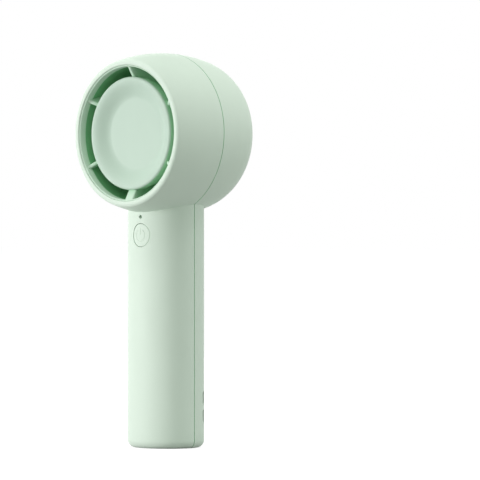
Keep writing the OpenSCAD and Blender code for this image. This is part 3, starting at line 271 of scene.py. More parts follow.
def rear_head_outline(shell, air):
    """Rear half of the head: side arc, shoulder, rounded rim and the funnel down to the grille."""
    centre = belly_centre(shell)
    seam = shell.seam_gap / 2
    turn = belly_angle(shell, shell.shoulder_at)
    reach = shell.belly_radius - shell.shoulder_radius
    shoulder = (centre[0] + reach * cos(turn), centre[1] + reach * sin(turn))
    nose_y = REAR_Y - shell.nose_radius
    inner_reach = shell.shoulder_radius - shell.nose_radius
    nose = (shoulder[0] + sqrt(inner_reach**2 - (nose_y - shoulder[1]) ** 2), nose_y)
    join = atan2(nose[1] - shoulder[1], nose[0] - shoulder[0])
    foot = (air.grille_radius + air.grille_gap, REAR_Y - air.funnel_depth)
    gap = hypot(nose[0] - foot[0], nose[1] - foot[1])
    slope = atan2(nose[1] - foot[1], nose[0] - foot[0]) + asin(shell.nose_radius / gap)
    seat = foot[1] - air.grille_bore
    inner = shell.shoulder_radius - shell.wall
    inner_turn = asin((seat - shell.wall / 2 - shoulder[1]) / inner)
    return (
        arc(centre, shell.belly_radius, belly_angle(shell, seam), turn, 30)
        + arc(shoulder, shell.shoulder_radius, turn, join, 24)[1:]
        + arc(nose, shell.nose_radius, join, slope + pi / 2, 20)[1:]
        + [foot, (foot[0], seat), (GRILLE_HIGH.x + air.grille_gap, seat)]
        + arc(shoulder, inner, inner_turn, turn, 6)
        + arc(centre, shell.belly_radius - shell.wall, turn, belly_angle(shell, seam, shell.wall), 12)[1:]
    )


def pod_radius(air, y):
    """Outer radius of the motor pod, which narrows towards the rear."""
    front_radius = DISC_HIGH.x - SKIRT_WALL - GAP
    front_y = DISC_LOW.y + air.skirt
    share = (FRAME_HIGH.y - y) / (FRAME_HIGH.y - front_y)
    return air.pod_rear_radius + (front_radius - air.pod_rear_radius) * sin(pi / 2 * clamp(share))


def shroud_radius(air, y):
    """Inner radius of the shroud, straight round the impeller and flared in front of it."""
    wide = air.outlet_radius + air.ring_step
    share = ease((air.flare_at - y) / (air.flare_at - SHROUD_LOW.y))
    return air.inlet_radius + (wide - air.inlet_radius) * share


def dish_y(air, radius):
    """Front face of the disc: a flat floor and an S-curve up to its rim."""
    rim = DISC_HIGH.x - air.disc_round
    return DISC_LOW.y + air.dish_depth * (1 - ease((radius - air.dish_radius) / (rim - air.dish_radius)))


def impeller_radius(air, y):
    share = (y - IMPELLER_LOW.y) / (IMPELLER_HIGH.y - IMPELLER_LOW.y)
    flare = 1 - sin(pi / 2 * clamp(share))
    return air.nose_radius + (air.pod_rear_radius - air.nose_radius) * flare


# Meshes


def new_object(name, mesh, materials=()):
    piece = bpy.data.objects.new(name, mesh)
    bpy.context.scene.collection.objects.link(piece)
    for material in materials:
        mesh.materials.append(material)
    return piece


def close(build, name):
    """Turns a bmesh of closed solids into a mesh whose faces point outwards."""
    bmesh.ops.remove_doubles(build, verts=build.verts, dist=TINY)
    bmesh.ops.recalc_face_normals(build, faces=build.faces)
    mesh = bpy.data.meshes.new(name)
    build.to_mesh(mesh)
    build.free()
    return mesh


def bridge(build, first, second, wrap=True):
    """Faces between two rows of points, one of which may be a single point."""
    count = max(len(first), len(second))
    for i in range(count if wrap else count - 1):
        k = (i + 1) % count
        near = [first[i % len(first)], first[k % len(first)]]
        far = [second[k % len(second)], second[i % len(second)]]
        build.faces.new(list(dict.fromkeys(near + far)))


def loft(build, rows):
    """Faces from each row of points to the next, except between two single points."""
    for first, second in zip(rows, rows[1:]):
        if len(first) + len(second) > 2:
            bridge(build, first, second)


def lofted_piece(name, rows, materials=()):
    """Solid through rows of places, closed at both ends."""
    build = bmesh.new()
    rows = [[build.verts.new(p) for p in row] for row in rows]
    loft(build, rows)
    for end in (rows[0], rows[-1]):
        if len(end) > 1:
            build.faces.new(end)
    return new_object(name, close(build, name), materials)


def turned_piece(name, outline, materials, steps=240, closed=True, height=AXIS_Z):
    """Turns an outline round an axis along Y. An outline that ends on the axis isn't closed."""
    build = bmesh.new()
    angles = [2 * pi * i / steps for i in range(steps)]
    rings = []
    for radius, y in outline:
        turns = angles if radius > TINY else [0]
        places = [(radius * sin(a), y, height + radius * cos(a)) for a in turns]
        rings.append([build.verts.new(p) for p in places])
    loft(build, rings)
    if closed:
        bridge(build, rings[-1], rings[0])
    return new_object(name, close(build, name), materials)


def discard(piece):
    mesh = piece.data
    bpy.data.objects.remove(piece)
    bpy.data.meshes.remove(mesh)


def settle(piece):
    """Replaces a piece's mesh by what its modifiers make of it, and removes them."""
    graph = bpy.context.evaluated_depsgraph_get()
    mesh = bpy.data.meshes.new_from_object(piece.evaluated_get(graph), depsgraph=graph)
    piece.modifiers.clear()
    old = piece.data
    piece.data = mesh
    mesh.name = old.name
    bpy.data.meshes.remove(old)


def combine(piece, other, operation):
    """Joins another solid to a piece, or cuts it away, and removes the other."""
    cut = piece.modifiers.new("combine", "BOOLEAN")
    cut.solver = "EXACT"
    cut.operation = operation
    cut.object = other
    settle(piece)
    discard(other)


def join_pieces(name, pieces):
    """One object from several, in one mesh."""
    build = bmesh.new()
    materials = []
    for piece in pieces:
        start = len(build.faces)
        build.from_mesh(piece.data)
        build.faces.ensure_lookup_table()
        materials += [m for m in piece.data.materials if m not in materials]
        places = [materials.index(m) for m in piece.data.materials]
        for face in build.faces[start:]:
            face.material_index = places[face.material_index]
        discard(piece)
    mesh = bpy.data.meshes.new(name)
    build.to_mesh(mesh)
    build.free()
    return new_object(name, mesh, materials)


def finish_piece(piece, body, slot, *nodes, angle=32):
    """Soft shading up to an angle between faces, and the piece's place in the assembly."""
    piece.data.shade_smooth()
    piece.data.set_sharp_from_angle(angle=radians(angle))
    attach(piece, body)
    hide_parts(*nodes)


def slot_points(width, height, steps=16):
    """Upright slot with round ends, as (across, up) points."""
    end = width / 2
    straight = (height - width) / 2
    upper = [(p[0], p[1] + straight) for p in arc((0, 0), end, 0, pi, steps)]
    lower = [(p[0], p[1] - straight) for p in arc((0, 0), end, pi, 2 * pi, steps)]
    return upper + lower


def prism(name, points, low, high, place):
    """Solid of an (across, up) outline from low to high along local X, put in place."""
    build = bmesh.new()
    rows = [[build.verts.new((x, a, u)) for a, u in points] for x in (low, high)]
    bridge(build, *rows)
    for row in rows:
        build.faces.new(row)
    bmesh.ops.transform(build, matrix=place, verts=build.verts)
    return new_object(name, close(build, name))


def along_y(height):
    """Place for a prism that runs along Y at a height."""
    return Matrix.Translation((0, 0, height)) @ Matrix.Rotation(pi / 2, 4, "Z")


def add_node(tree, kind, inputs=None, out=0, **settings):
    """Adds a node and gives back one output. An input takes a value, or a link from a socket."""
    node = tree.nodes.new(kind)
    for name, value in settings.items():
        setattr(node, name, value)
    for key, value in (inputs or {}).items():
        if isinstance(value, bpy.types.NodeSocket):
            tree.links.new(value, node.inputs[key])
        else:
            node.inputs[key].default_value = value
    return node.outputs[out]


def repeat_tree():
    """Copies a shape round the fan's axis by a steady step."""
    tree = bpy.data.node_groups.new("Round Repeat", "GeometryNodeTree")
    sockets = {"Geometry": "Geometry", "Count": "Int", "Turn": "Float", "Step": "Float"}
    sockets.update({"Axis Height": "Float", "Material": "Material"})
    for name, kind in sockets.items():
        tree.interface.new_socket(name, in_out="INPUT", socket_type="NodeSocket" + kind)
    tree.interface.new_socket("Geometry", in_out="OUTPUT", socket_type="NodeSocketGeometry")
    given = tree.nodes.new("NodeGroupInput").outputs
    axis = add_node(tree, "ShaderNodeCombineXYZ", {"Z": given["Axis Height"]})
    points = add_node(tree, "GeometryNodePoints", {"Count": given["Count"], "Position": axis})
    index = add_node(tree, "GeometryNodeInputIndex")
    terms = {0: index, 1: given["Step"], 2: given["Turn"]}
    angle = add_node(tree, "ShaderNodeMath", terms, operation="MULTIPLY_ADD")
    turn = add_node(tree, "FunctionNodeAxisAngleToRotation", {"Axis": (0, 1, 0), "Angle": angle})
    places = {"Points": points, "Instance": given["Geometry"], "Rotation": turn}
    copies = add_node(tree, "GeometryNodeInstanceOnPoints", places)
    real = add_node(tree, "GeometryNodeRealizeInstances", {"Geometry": copies})
    paint = {"Geometry": real, "Material": given["Material"]}
    painted = add_node(tree, "GeometryNodeSetMaterial", paint)
    tree.links.new(painted, tree.nodes.new("NodeGroupOutput").inputs["Geometry"])
    return tree


def repeat_round(piece, count, turn, step, material):
    """Runs the repeat on a piece that is built on an axis through the origin."""
    tree = bpy.data.node_groups.get("Round Repeat") or repeat_tree()
    inputs = {s.name: s.identifier for s in tree.interface.items_tree if s.in_out == "INPUT"}
    repeat = piece.modifiers.new("repeat", "NODES")
    repeat.node_group = tree
    values = {"Count": count, "Turn": turn, "Step": step, "Axis Height": AXIS_Z, "Material": material}
    for name, value in values.items():
        repeat[inputs[name]] = value
    settle(piece)


def skin(name, first, second):
    """Closed sheet from two grids of points that face away from each other."""
    build = bmesh.new()
    grids = [[[build.verts.new(p) for p in row] for row in grid] for grid in (first, second)]
    for grid in grids:
        for a, b in zip(grid, grid[1:]):
            bridge(build, a, b, wrap=False)
    edges = [
        grid[0] + [row[-1] for row in grid[1:]] + grid[-1][-2::-1] + [row[0] for row in grid[-2:0:-1]]
        for grid in grids
    ]
    bridge(build, *edges)
    return new_object(name, close(build, name))


# Materials


# Places of the Mix node's colour sockets, whose names aren't unique
MIX_FACTOR, MIX_FIRST, MIX_SECOND, MIX_RESULT = 0, 6, 7, 2


def start_material(name, values=None):
    """Material with its tree, its shader, which takes the values, and its Object coordinates."""
    material = bpy.data.materials.new(name)
    material.use_nodes = True
    tree = material.node_tree
    shader = tree.nodes["Principled BSDF"]
    for key, value in (values or {}).items():
        shader.inputs[key].default_value = value
    return material, tree, shader, add_node(tree, "ShaderNodeTexCoord", out="Object")


def noise(tree, place, scale, detail, stretch=(1, 1, 1)):
    if stretch != (1, 1, 1):
        place = add_node(tree, "ShaderNodeMapping", {"Vector": place, "Scale": stretch})
    inputs = {"Vector": place, "Scale": scale, "Detail": detail}
    return add_node(tree, "ShaderNodeTexNoise", inputs, "Fac")


def blend_colours(factor, low, high, socket):
    tree = socket.id_data
    inputs = {MIX_FACTOR: factor, MIX_FIRST: (*low, 1), MIX_SECOND: (*high, 1)}
    tree.links.new(add_node(tree, "ShaderNodeMix", inputs, MIX_RESULT, data_type="RGBA"), socket)


def tint(base, factor):
    return tuple(min(1, c * factor) for c in base)


def vary_colour(shader, factor, base, dark, light):
    """Takes the base colour times dark to the base colour times light."""
    blend_colours(factor, tint(base, dark), tint(base, light), shader.inputs["Base Color"])


def vary_value(factor, low, high, socket):
    tree = socket.id_data
    inputs = {"Value": factor, "To Min": low, "To Max": high}
    tree.links.new(add_node(tree, "ShaderNodeMapRange", inputs), socket)


def bump(shader, height, strength, distance):
    tree = shader.id_data
    inputs = {"Height": height, "Strength": strength, "Distance": distance}
    tree.links.new(add_node(tree, "ShaderNodeBump", inputs), shader.inputs["Normal"])


def moulded(name, base, gloss=0.48, grain=2600, shine=0.06):
    """Satin moulded plastic: fine spark grain, and faint flow in its colour and gloss."""
    material, tree, shader, place = start_material(name, {"Specular IOR Level": shine})
    flow = noise(tree, place, 90, 4, (1, 1, 0.35))
    fine = noise(tree, place, grain, 2)
    vary_colour(shader, flow, base, 0.97, 1.03)
    vary_value(fine, gloss - 0.06, gloss + 0.06, shader.inputs["Roughness"])
    bump(shader, fine, 0.35, 0.01 * MM)
    return material


def paint_depth_shade(material, deep, start, end, weights=(0, 1, 0)):
    """Paints shade into a plastic's colour: takes it to a deeper one between two weighted distances from
    the origin, as shade falls deeper in a recess.
    """
    tree = material.node_tree
    socket = tree.nodes["Principled BSDF"].inputs["Base Color"]
    surface = socket.links[0].from_socket
    place = tree.nodes["Texture Coordinate"].outputs["Object"]
    weighed = add_node(tree, "ShaderNodeVectorMath", {0: place, 1: weights}, operation="MULTIPLY")
    distance = add_node(tree, "ShaderNodeVectorMath", {0: weighed}, "Value", operation="LENGTH")
    inputs = {"Value": distance, "From Min": start, "From Max": end}
    blend_colours(add_node(tree, "ShaderNodeMapRange", inputs), deep, deep, socket)
    tree.links.new(surface, socket.links[0].from_node.inputs[MIX_FIRST])


def metal(name, base, roughness, stretch=(1, 1, 1), scale=1800):
    """Turned or plated metal with fine tool marks."""
    material, tree, shader, place = start_material(name, {"Metallic": 1})
    marks = noise(tree, place, scale, 4, stretch)
    vary_colour(shader, marks, base, 0.88, 1.06)
    vary_value(marks, roughness - 0.08, roughness + 0.1, shader.inputs["Roughness"])
    bump(shader, marks, 0.25, 0.01 * MM)
    return material


def patterned(name, base, texture, inputs, out, tints, relief, values, **settings):
    """Material whose colour and relief follow one texture."""
    material, tree, shader, place = start_material(name, values)
    pattern = add_node(tree, "ShaderNodeTex" + texture, {"Vector": place, **inputs}, out, **settings)
    vary_colour(shader, pattern, base, *tints)
    bump(shader, pattern, *relief)
    return material


def wound_copper(name, base):
    """Enamelled wire laid in turns across the tooth."""
    inputs, values = {"Scale": 900, "Distortion": 1.2}, {"Metallic": 0.8, "Roughness": 0.32}
    tints, relief = (0.55, 1), (0.8, 0.1 * MM)
    return patterned(name, base, "Wave", inputs, "Fac", tints, relief, values, bands_direction="Y")


def solder_mask(name, base):
    """Circuit board: green mask with faint tracks under it."""
    inputs, values = {"Scale": 420, "Mortar Size": 0.03}, {"Roughness": 0.3}
    return patterned(name, base, "Brick", inputs, "Fac", (1, 1.5), (0.4, 0.03 * MM), values)


def foam(name, base):
    """Closed-cell foam."""
    inputs, values = {"Scale": 1600}, {"Roughness": 0.9}
    return patterned(name, base, "Voronoi", inputs, "Distance", (0.6, 1.2), (0.8, 0.2 * MM), values)


# Shells


def oval_point(shell, side, width, angle, height):
    """Point on half an oval section, which starts and ends at the seam."""
    seam = shell.seam_gap / 2
    depth = width * shell.handle_depth / shell.handle_width
    return width * cos(angle), side * (seam + (depth - seam) * sin(angle)), height


def handle_half(shell, side, columns=96, rows=28):
    """Half of the hollow handle, with its rounded base; its top lies inside the head's wall."""
    half = shell.handle_width / 2
    ratio = shell.handle_depth / shell.handle_width
    start = shell.seam_gap / 2 / ratio
    q = shell.base_round
    path = [(start, 0.0), (half - q, 0.0)]
    path += [(half - q + q * sin(a), q - q * cos(a)) for a in spread(0, pi / 2, 10)[1:]]
    inner_share = (half - shell.wall) / half

    def top(x, y):
        return AXIS_Z - sqrt(belly_radius_at(shell, y, shell.wall / 2) ** 2 - x * x)

    angles = spread(0, pi, columns)
    outer = [[oval_point(shell, side, w, a, z) for a in angles] for w, z in path]
    inner = [
        [oval_point(shell, side, max(start, w * inner_share), a, max(z, shell.wall)) for a in angles]
        for w, z in path
    ]
    for share in spread(0, 1, rows)[1:]:
        for grid, width in ((outer, half), (inner, half * inner_share)):
            feet = [oval_point(shell, side, width, a, q) for a in angles]
            grid.append([(x, y, z + (top(x, y) - z) * share) for x, y, z in feet])
    return skin("handle_half", outer, inner)


def rounded_box(half, low, high, foot, head):
    """Upright box as (across, up) points, with one corner radius below and one above."""
    return (
        arc((foot - half, low + foot), foot, pi, 3 * pi / 2, 8)
        + arc((half - foot, low + foot), foot, -pi / 2, 0, 8)
        + arc((half - head, high - head), head, 0, pi / 2, 10)
        + arc((head - half, high - head), head, pi / 2, pi, 10)
    )


def slot_place(shell):
    """Place of the lanyard slots, and how far the handle's surface lies from its axis there."""
    turn = shell.slot_turn
    across, deep = cos(turn) / shell.handle_width, sin(turn) / shell.handle_depth
    surface = 0.5 / hypot(across, deep)
    return Matrix.Translation((0, 0, shell.slot_height_at)) @ Matrix.Rotation(turn, 4, "Z"), surface


def lanyard_cutters(shell):
    """Block that backs the lanyard slots, and the solids that open them."""
    place, surface = slot_place(shell)
    liner, cover = 1 * MM, 1.2 * MM
    wider, lap, beyond = 0.1 * MM, 0.3 * MM, 4 * MM
    floor, back = surface - shell.pocket_depth, surface - shell.bar_thickness
    across, up, end = shell.slot_width / 2, shell.slot_height / 2, shell.slot_round
    wide, tall = across + liner, up + liner
    corners = [(-wide, -tall), (wide, -tall), (wide, tall), (-wide, tall)]
    block = prism("slot_block", corners, floor - liner, surface - cover, place)
    wide, tall = across + wider, up + wider
    pocket = rounded_box(wide, -tall, tall, end, end)
    upper = rounded_box(across, shell.bar_height / 2, up, shell.bar_round, end)
    lower = [(a, -u) for a, u in reversed(upper)]
    cutters = [prism("slot_pocket", pocket, floor, back, place)]
    for mouth in (upper, lower):
        cutters.append(prism("slot_mouth", mouth, back - lap, surface + beyond, place))
    return block, cutters


def line_slots(piece, shell):
    """Gives the piece's second material, whose colour holds painted shade, to the walls of the lanyard
    slots.
    """
    place, surface = slot_place(shell)
    near = place.inverted()
    slack, skin_share = 0.2 * MM, 0.994
    wide, tall = shell.slot_width / 2 + slack, shell.slot_height / 2 + slack
    floor = surface - shell.pocket_depth - slack
    for face in piece.data.polygons:
        depth, across, up = near @ face.center
        oval = (2 * face.center.x / shell.handle_width, 2 * face.center.y / shell.handle_depth)
        framed = abs(across) < wide and abs(up) < tall and depth > floor
        if framed and hypot(*oval) < skin_share:
            face.material_index = 1


def body_outline(shell, inset):
    """Outline of head and handle in the seam's plane, set in from the surface."""
    radius = belly_radius_at(shell, 0, inset)
    half = shell.handle_width / 2 - inset
    corner = shell.base_round - inset
    join = asin(half / radius)
    low = inset + corner
    return (
        arc((0, AXIS_Z), radius, join - pi / 2, 3 * pi / 2 - join, 200)
        + arc((corner - half, low), corner, pi, 3 * pi / 2, 8)
        + arc((half - corner, low), corner, -pi / 2, 0, 8)
    )


def seam_band(shell, outer, inner, low):
    """Band between two depths under the surface, from low to a wall's thickness behind the seam."""
    band = prism("band", body_outline(shell, outer), low, shell.wall, along_y(0))
    core = prism("core", body_outline(shell, inner), 2 * low, 2 * shell.wall, along_y(0))
    combine(band, core, "DIFFERENCE")
    return band


class FAN_OT_shells(bpy.types.Operator):
    """Builds the front and rear shells with their openings"""

    bl_idname = "fan.shells"
    bl_label = "Shells"

    def execute(self, context):
        fan = context.scene.fan
        shell, air = fan.shell, fan.air
        plastic = moulded("shell_plastic", fan.looks.shell)
        seam, seam_shade = shell.seam_gap / 2, 0.08 * MM
        # Painted shade: inside the seam gap the shell's colour turns to the pod's deeper green.
        paint_depth_shade(plastic, fan.looks.pod, seam + seam_shade, seam)
        front = turned_piece("front_casing", front_head_outline(shell, air), [plastic], HEAD_STEPS)
        combine(front, handle_half(shell, -1), "UNION")
        flange_lap, pipe_hole, beyond = 0.4 * MM, 0.72 * MM, shell.handle_depth
        for radius, height in ((FLANGE_RADIUS - flange_lap, BUTTON_Z), (pipe_hole, PIPE_Z)):
            points = arc((0, 0), radius, 0, 2 * pi, 96)[:-1]
            combine(front, prism("hole", points, -beyond, -shell.wall, along_y(height)), "DIFFERENCE")
        # Painted shade: the slot walls go from the shell's colour at the rim to a dark green deep inside.
        inside = moulded("slot_painted_shade", fan.looks.shell)
        oval = (2 / shell.handle_width, 2 / shell.handle_depth, 0)
        rim_share, deep_share = 0.985, 0.94
        paint_depth_shade(inside, fan.looks.slot, rim_share, deep_share, oval)
        rear = turned_piece("rear_casing", rear_head_outline(shell, air), [plastic, inside], HEAD_STEPS)
        combine(rear, handle_half(shell, 1), "UNION")
        block, cutters = lanyard_cutters(shell)
        combine(rear, block, "UNION")
        around = 0.24 * MM
        mouth = [(u, a) for a, u in slot_points(SOCKET_HEIGHT + around, SOCKET_WIDTH + around)]
        cutters.append(prism("socket_hole", mouth, SOCKET_LOW.y, beyond, along_y(SOCKET_Z)))
        for cutter in cutters:
            combine(rear, cutter, "DIFFERENCE")
        # The step and the tongue come last, because the exact solver fails when they come sooner
        step, room = shell.wall - shell.lap_thickness, shell.wall + 1 * MM
        lap = seam_band(shell, step, room, -shell.lap_depth - shell.lap_gap)
        combine(front, lap, "DIFFERENCE")
        tongue = seam_band(shell, step + shell.lap_gap, shell.wall - GAP, -shell.lap_depth)
        combine(rear, tongue, "UNION")
        line_slots(rear, shell)
        finish_piece(front, "housing", "shell", "front_shell")
        finish_piece(rear, "housing", "shell", "rear_shell")
        return {"FINISHED"}


# Inlet


def spoke(air, rear):
    """Bar with rounded rear edges and a rounded tip, on an axis through the origin."""
    half, thick, edge, blunt = air.spoke_width / 2, air.spoke_thickness, 0.45 * MM, 0.96
    section = [(-half, -thick), (half, -thick)]
    section += arc((half - edge, -edge), edge, 0, pi / 2, 6)
    section += arc((edge - half, -edge), edge, pi / 2, pi, 6)
    reach = air.inlet_radius + air.spoke_lap
    turns = spread(0, pi / 2 * blunt, 6)
    stations = [(1, air.hub_radius / 2), (1, reach - 3 * half)]
    stations += [(cos(a), reach - half * (1 - sin(a))) for a in turns]
    rows = [[(x * share - air.spoke_offset, y + rear, z) for x, y in section] for share, z in stations]
    return lofted_piece("spoke", rows)


class FAN_OT_inlet(bpy.types.Operator):
    """Builds the inlet grille, its cap and the shroud behind it"""

    bl_idname = "fan.inlet"
    bl_label = "Inlet"

    def execute(self, context):
        fan = context.scene.fan
        air = fan.air
        plastic = moulded("grille_plastic", fan.looks.grille)
        funnel_y = REAR_Y - air.funnel_depth
        shade_start, shade_end = funnel_y - 0.5 * MM, funnel_y - 2.4 * MM
        # Painted shade: the grille's colour turns to the pod's deeper green down its inner slope.
        paint_depth_shade(plastic, fan.looks.pod, shade_start, shade_end)
        seat = funnel_y - air.grille_bore
        edge, soft, spoke_set, cap_depth = 0.25 * MM, 0.5 * MM, 0.2 * MM, 0.9 * MM
        inner, outer, slope_y = air.inlet_radius, air.grille_radius, funnel_y - air.ring_drop
        ring = [(inner, GRILLE_LOW.y), (GRILLE_HIGH.x, GRILLE_LOW.y), (GRILLE_HIGH.x, seat), (outer, seat)]
        ring += [(outer, funnel_y - edge), (outer - edge, funnel_y - 2 * edge / 3)]
        ring += [(inner + edge, slope_y), (inner, slope_y - edge)]
        hub_rear = GRILLE_HIGH.y
        hub_front, recess = hub_rear - air.hub_thickness, hub_rear - cap_depth
        hub = [(0, hub_front), (air.hub_radius - soft, hub_front), (air.hub_radius, hub_front + soft)]
        hub += arc((air.hub_radius - soft, hub_rear - soft), soft, 0, pi / 2, 8)
        hub += arc((air.cap_radius + soft / 2, hub_rear - soft / 2), soft / 2, pi / 2, pi, 6)
        hub += [(air.cap_radius, recess), (0, recess)]
        parts = [
            turned_piece("ring", ring, [plastic]),
            turned_piece("hub", hub, [plastic], 120, closed=False),
            spoke(air, funnel_y - spoke_set),
        ]
        repeat_round(parts[2], air.spokes, air.spoke_turn, -2 * pi / air.spokes, plastic)
        finish_piece(join_pieces("grille", parts), "housing", "grille", "inlet_grille")
        cap_edge = air.cap_radius - air.grille_gap
        cap = [(0, recess), (cap_edge, recess)]
        cap += arc((cap_edge - soft / 2, hub_rear - soft / 2), soft / 2, 0, pi / 2, 6)
        cap += [(0, hub_rear)]
        centre = turned_piece("hub_cap", cap, [plastic], 120, closed=False)
        finish_piece(centre, "housing", "grille", "grille_cap")
        walls = [(shroud_radius(air, y), y) for y in spread(SHROUD_LOW.y, air.flare_at, 40)]
        walls += [(air.inlet_radius, SHROUD_HIGH.y)]
        walls += [(r + air.duct_wall, y) for r, y in reversed(walls)]
        # The shroud's dark green duct colour is painted shade.
        duct = turned_piece("shroud", walls, [moulded("duct_painted_shade", fan.looks.duct, 0.55, shine=0.1)])
        finish_piece(duct, "housing", "duct", "inlet_shroud")
        return {"FINISHED"}


# Outlet


def vane(air, thickness, bend):
    """Guide vane between the pod and the ring, on an axis through the origin."""
    ring_rear = FRAME_LOW.y + air.ring_depth
    skirt_rear = DISC_LOW.y + air.skirt
    clearance, soft, sink = 0.2 * MM, 0.65 * MM, 0.3 * MM
    rear = SHROUD_LOW.y - clearance
    wide = air.outlet_radius + air.ring_step

    def point(u, v, face):
        front = FRONT_Y + air.vane_set + air.vane_slope * (1 - v)
        y = front + (rear - front) * u
        inner = DISC_HIGH.x + GAP if y < skirt_rear else pod_radius(air, y) - air.duct_wall / 2
        outer = (air.outlet_radius if y < ring_rear else wide) + sink
        set_in = soft * (1 - sqrt(1 - (1 - min(1, (y - front) / soft)) ** 2))
        arch = bend - sqrt(bend**2 - (y - FRONT_Y) ** 2) if bend else 0
        return arch + face * (thickness / 2 - set_in), y, inner + (outer - inner) * v

    # Rows lie closer together along the rounded front edge
    along = [0, 0.004, 0.012, 0.025, 0.045, 0.08] + spread(0.12, 1, 24)
    across = spread(0, 1, 10)
    grids = [[[point(u, v, face) for v in across] for u in along] for face in (-1, 1)]
    return skin("vane", *grids)


class FAN_OT_outlet(bpy.types.Operator):
    """Builds the outlet ring with its guide vanes and pod, and the dished disc"""

    bl_idname = "fan.outlet"
    bl_label = "Outlet"

    def execute(self, context):
        fan = context.scene.fan
        air = fan.air
        plastic = moulded("outlet_plastic", fan.looks.frame)
        shade_start, shade_length = REAR_Y - air.vane_set, 4 * MM
        # Painted shade: the ring's and vanes' colour turns to the pod's deeper green from the vanes' front
        # edge back.
        paint_depth_shade(plastic, fan.looks.pod, shade_start, shade_start - shade_length)
        # Painted shade: the pod and the sleeve behind the ring take the deeper pod and duct greens.
        shade = moulded("pod_painted_shade", fan.looks.pod, 0.55, shine=0.1)
        duct = moulded("sleeve_painted_shade", fan.looks.duct, 0.55, shine=0.1)
        soft, bore, ledge_gap = 0.2 * MM, 4.05 * MM, 0.1 * MM
        inner, wide = air.outlet_radius, air.outlet_radius + air.ring_step
        outer, widest = air.outlet_radius + air.ring_thickness, FRAME_HIGH.x
        front, ring_rear = FRAME_LOW.y, FRAME_LOW.y + air.ring_depth
        lip_back = FRONT_Y + fan.shell.lip_thickness + GAP
        ring = [(inner, front + soft), (inner + soft, front), (outer - soft, front), (outer, front + soft)]
        ring += [(outer, lip_back), (widest, lip_back), (widest, ring_rear), (inner, ring_rear)]
        sleeve = [(r, ring_rear) for r in (wide, widest)] + [(r, SHROUD_LOW.y) for r in (widest, wide)]
        skirt_rear = DISC_LOW.y + air.skirt
        pod_front = DISC_LOW.y + air.disc_thickness + air.disc_round
        rear = FRAME_HIGH.y
        pod = [(pod_radius(air, y), y) for y in spread(rear, skirt_rear, 30)]
        pod += [(pod[-1][0], pod_front), (pod[-1][0] - air.duct_wall, pod_front)]
        pod += [(pod_radius(air, y) - air.duct_wall, y) for y in spread(skirt_rear, rear - air.pod_end, 24)]
        pod += [(bore, rear - air.pod_end), (bore, rear)]
        parts = [
            turned_piece("ring", ring, [plastic]),
            turned_piece("pod", pod, [shade]),
            turned_piece("sleeve", sleeve, [duct]),
            vane(air, air.vane_thickness, air.vane_bend),
            vane(air, air.lead_vane, 0),
        ]
        sixth = pi / 3
        repeat_round(parts[3], 5, 4 * sixth, sixth, plastic)
        repeat_round(parts[4], 1, pi, 0, plastic)
        finish_piece(join_pieces("outlet_ring", parts), "housing", "duct", "outlet_frame")
        rim = DISC_HIGH.x - air.disc_round
        seat = DISC_HIGH.x - SKIRT_WALL
        ledge = seat - air.duct_wall - ledge_gap
        face = [(0, dish_y(air, 0))] + [(r, dish_y(air, r)) for r in spread(air.dish_radius, rim, 40)]
        face += arc((rim, DISC_LOW.y + air.disc_round), air.disc_round, -pi / 2, 0, 12)[1:]
        face += [(DISC_HIGH.x, skirt_rear), (seat, skirt_rear), (seat, pod_front), (ledge, pod_front)]
        face += [(r, dish_y(air, r) + air.disc_thickness) for r in spread(ledge, air.dish_radius, 20)]
        face += [(0, dish_y(air, 0) + air.disc_thickness)]
        # The disc's colour is set darker as painted shade for its recess.
        satin = moulded("disc_plastic", fan.looks.disc, 0.36)
        dish = turned_piece("dish", face, [satin, shade], closed=False)
        # Painted shade: the disc's skirt, deep in the gap before the pod, takes the pod's green.
        for side in dish.data.polygons:
            if hypot(side.center.x, side.center.z - AXIS_Z) > DISC_HIGH.x - air.disc_round / 10:
                side.material_index = 1
        finish_piece(dish, "housing", "disc", "front_disc")
        return {"FINISHED"}


# Impeller


def blade(air):
    """Swept blade on an axis through the origin; it thins towards both edges."""
    rear, front = IMPELLER_HIGH.y - 0.9 * MM, IMPELLER_LOW.y + 0.7 * MM
    sink, thin, ends = 0.7 * MM, 0.4, 0.1
    wrap, lean = radians(48), radians(14)
    tip_cut, tip_share = 2.2 * MM, 0.3

    def point(s, q, face):
        y = rear + (front - rear) * s
        root = impeller_radius(air, y) - sink
        tip = air.tip_radius - tip_cut * max(0, 1 - s / tip_share) ** 2
        r = root + (tip - root) * q
        swell = sin(pi * (ends + (1 - 2 * ends) * s))
        half = air.blade_thickness / 2 * (thin + (1 - thin) * swell)
        a = wrap * s + lean * q**3 + face * half / r
        return -r * sin(a), y, r * cos(a)

    along, across = spread(0, 1, 24), spread(0, 1, 14)
    grids = [[[point(s, q, face) for q in across] for s in along] for face in (-1, 1)]
    return skin("blade", *grids)


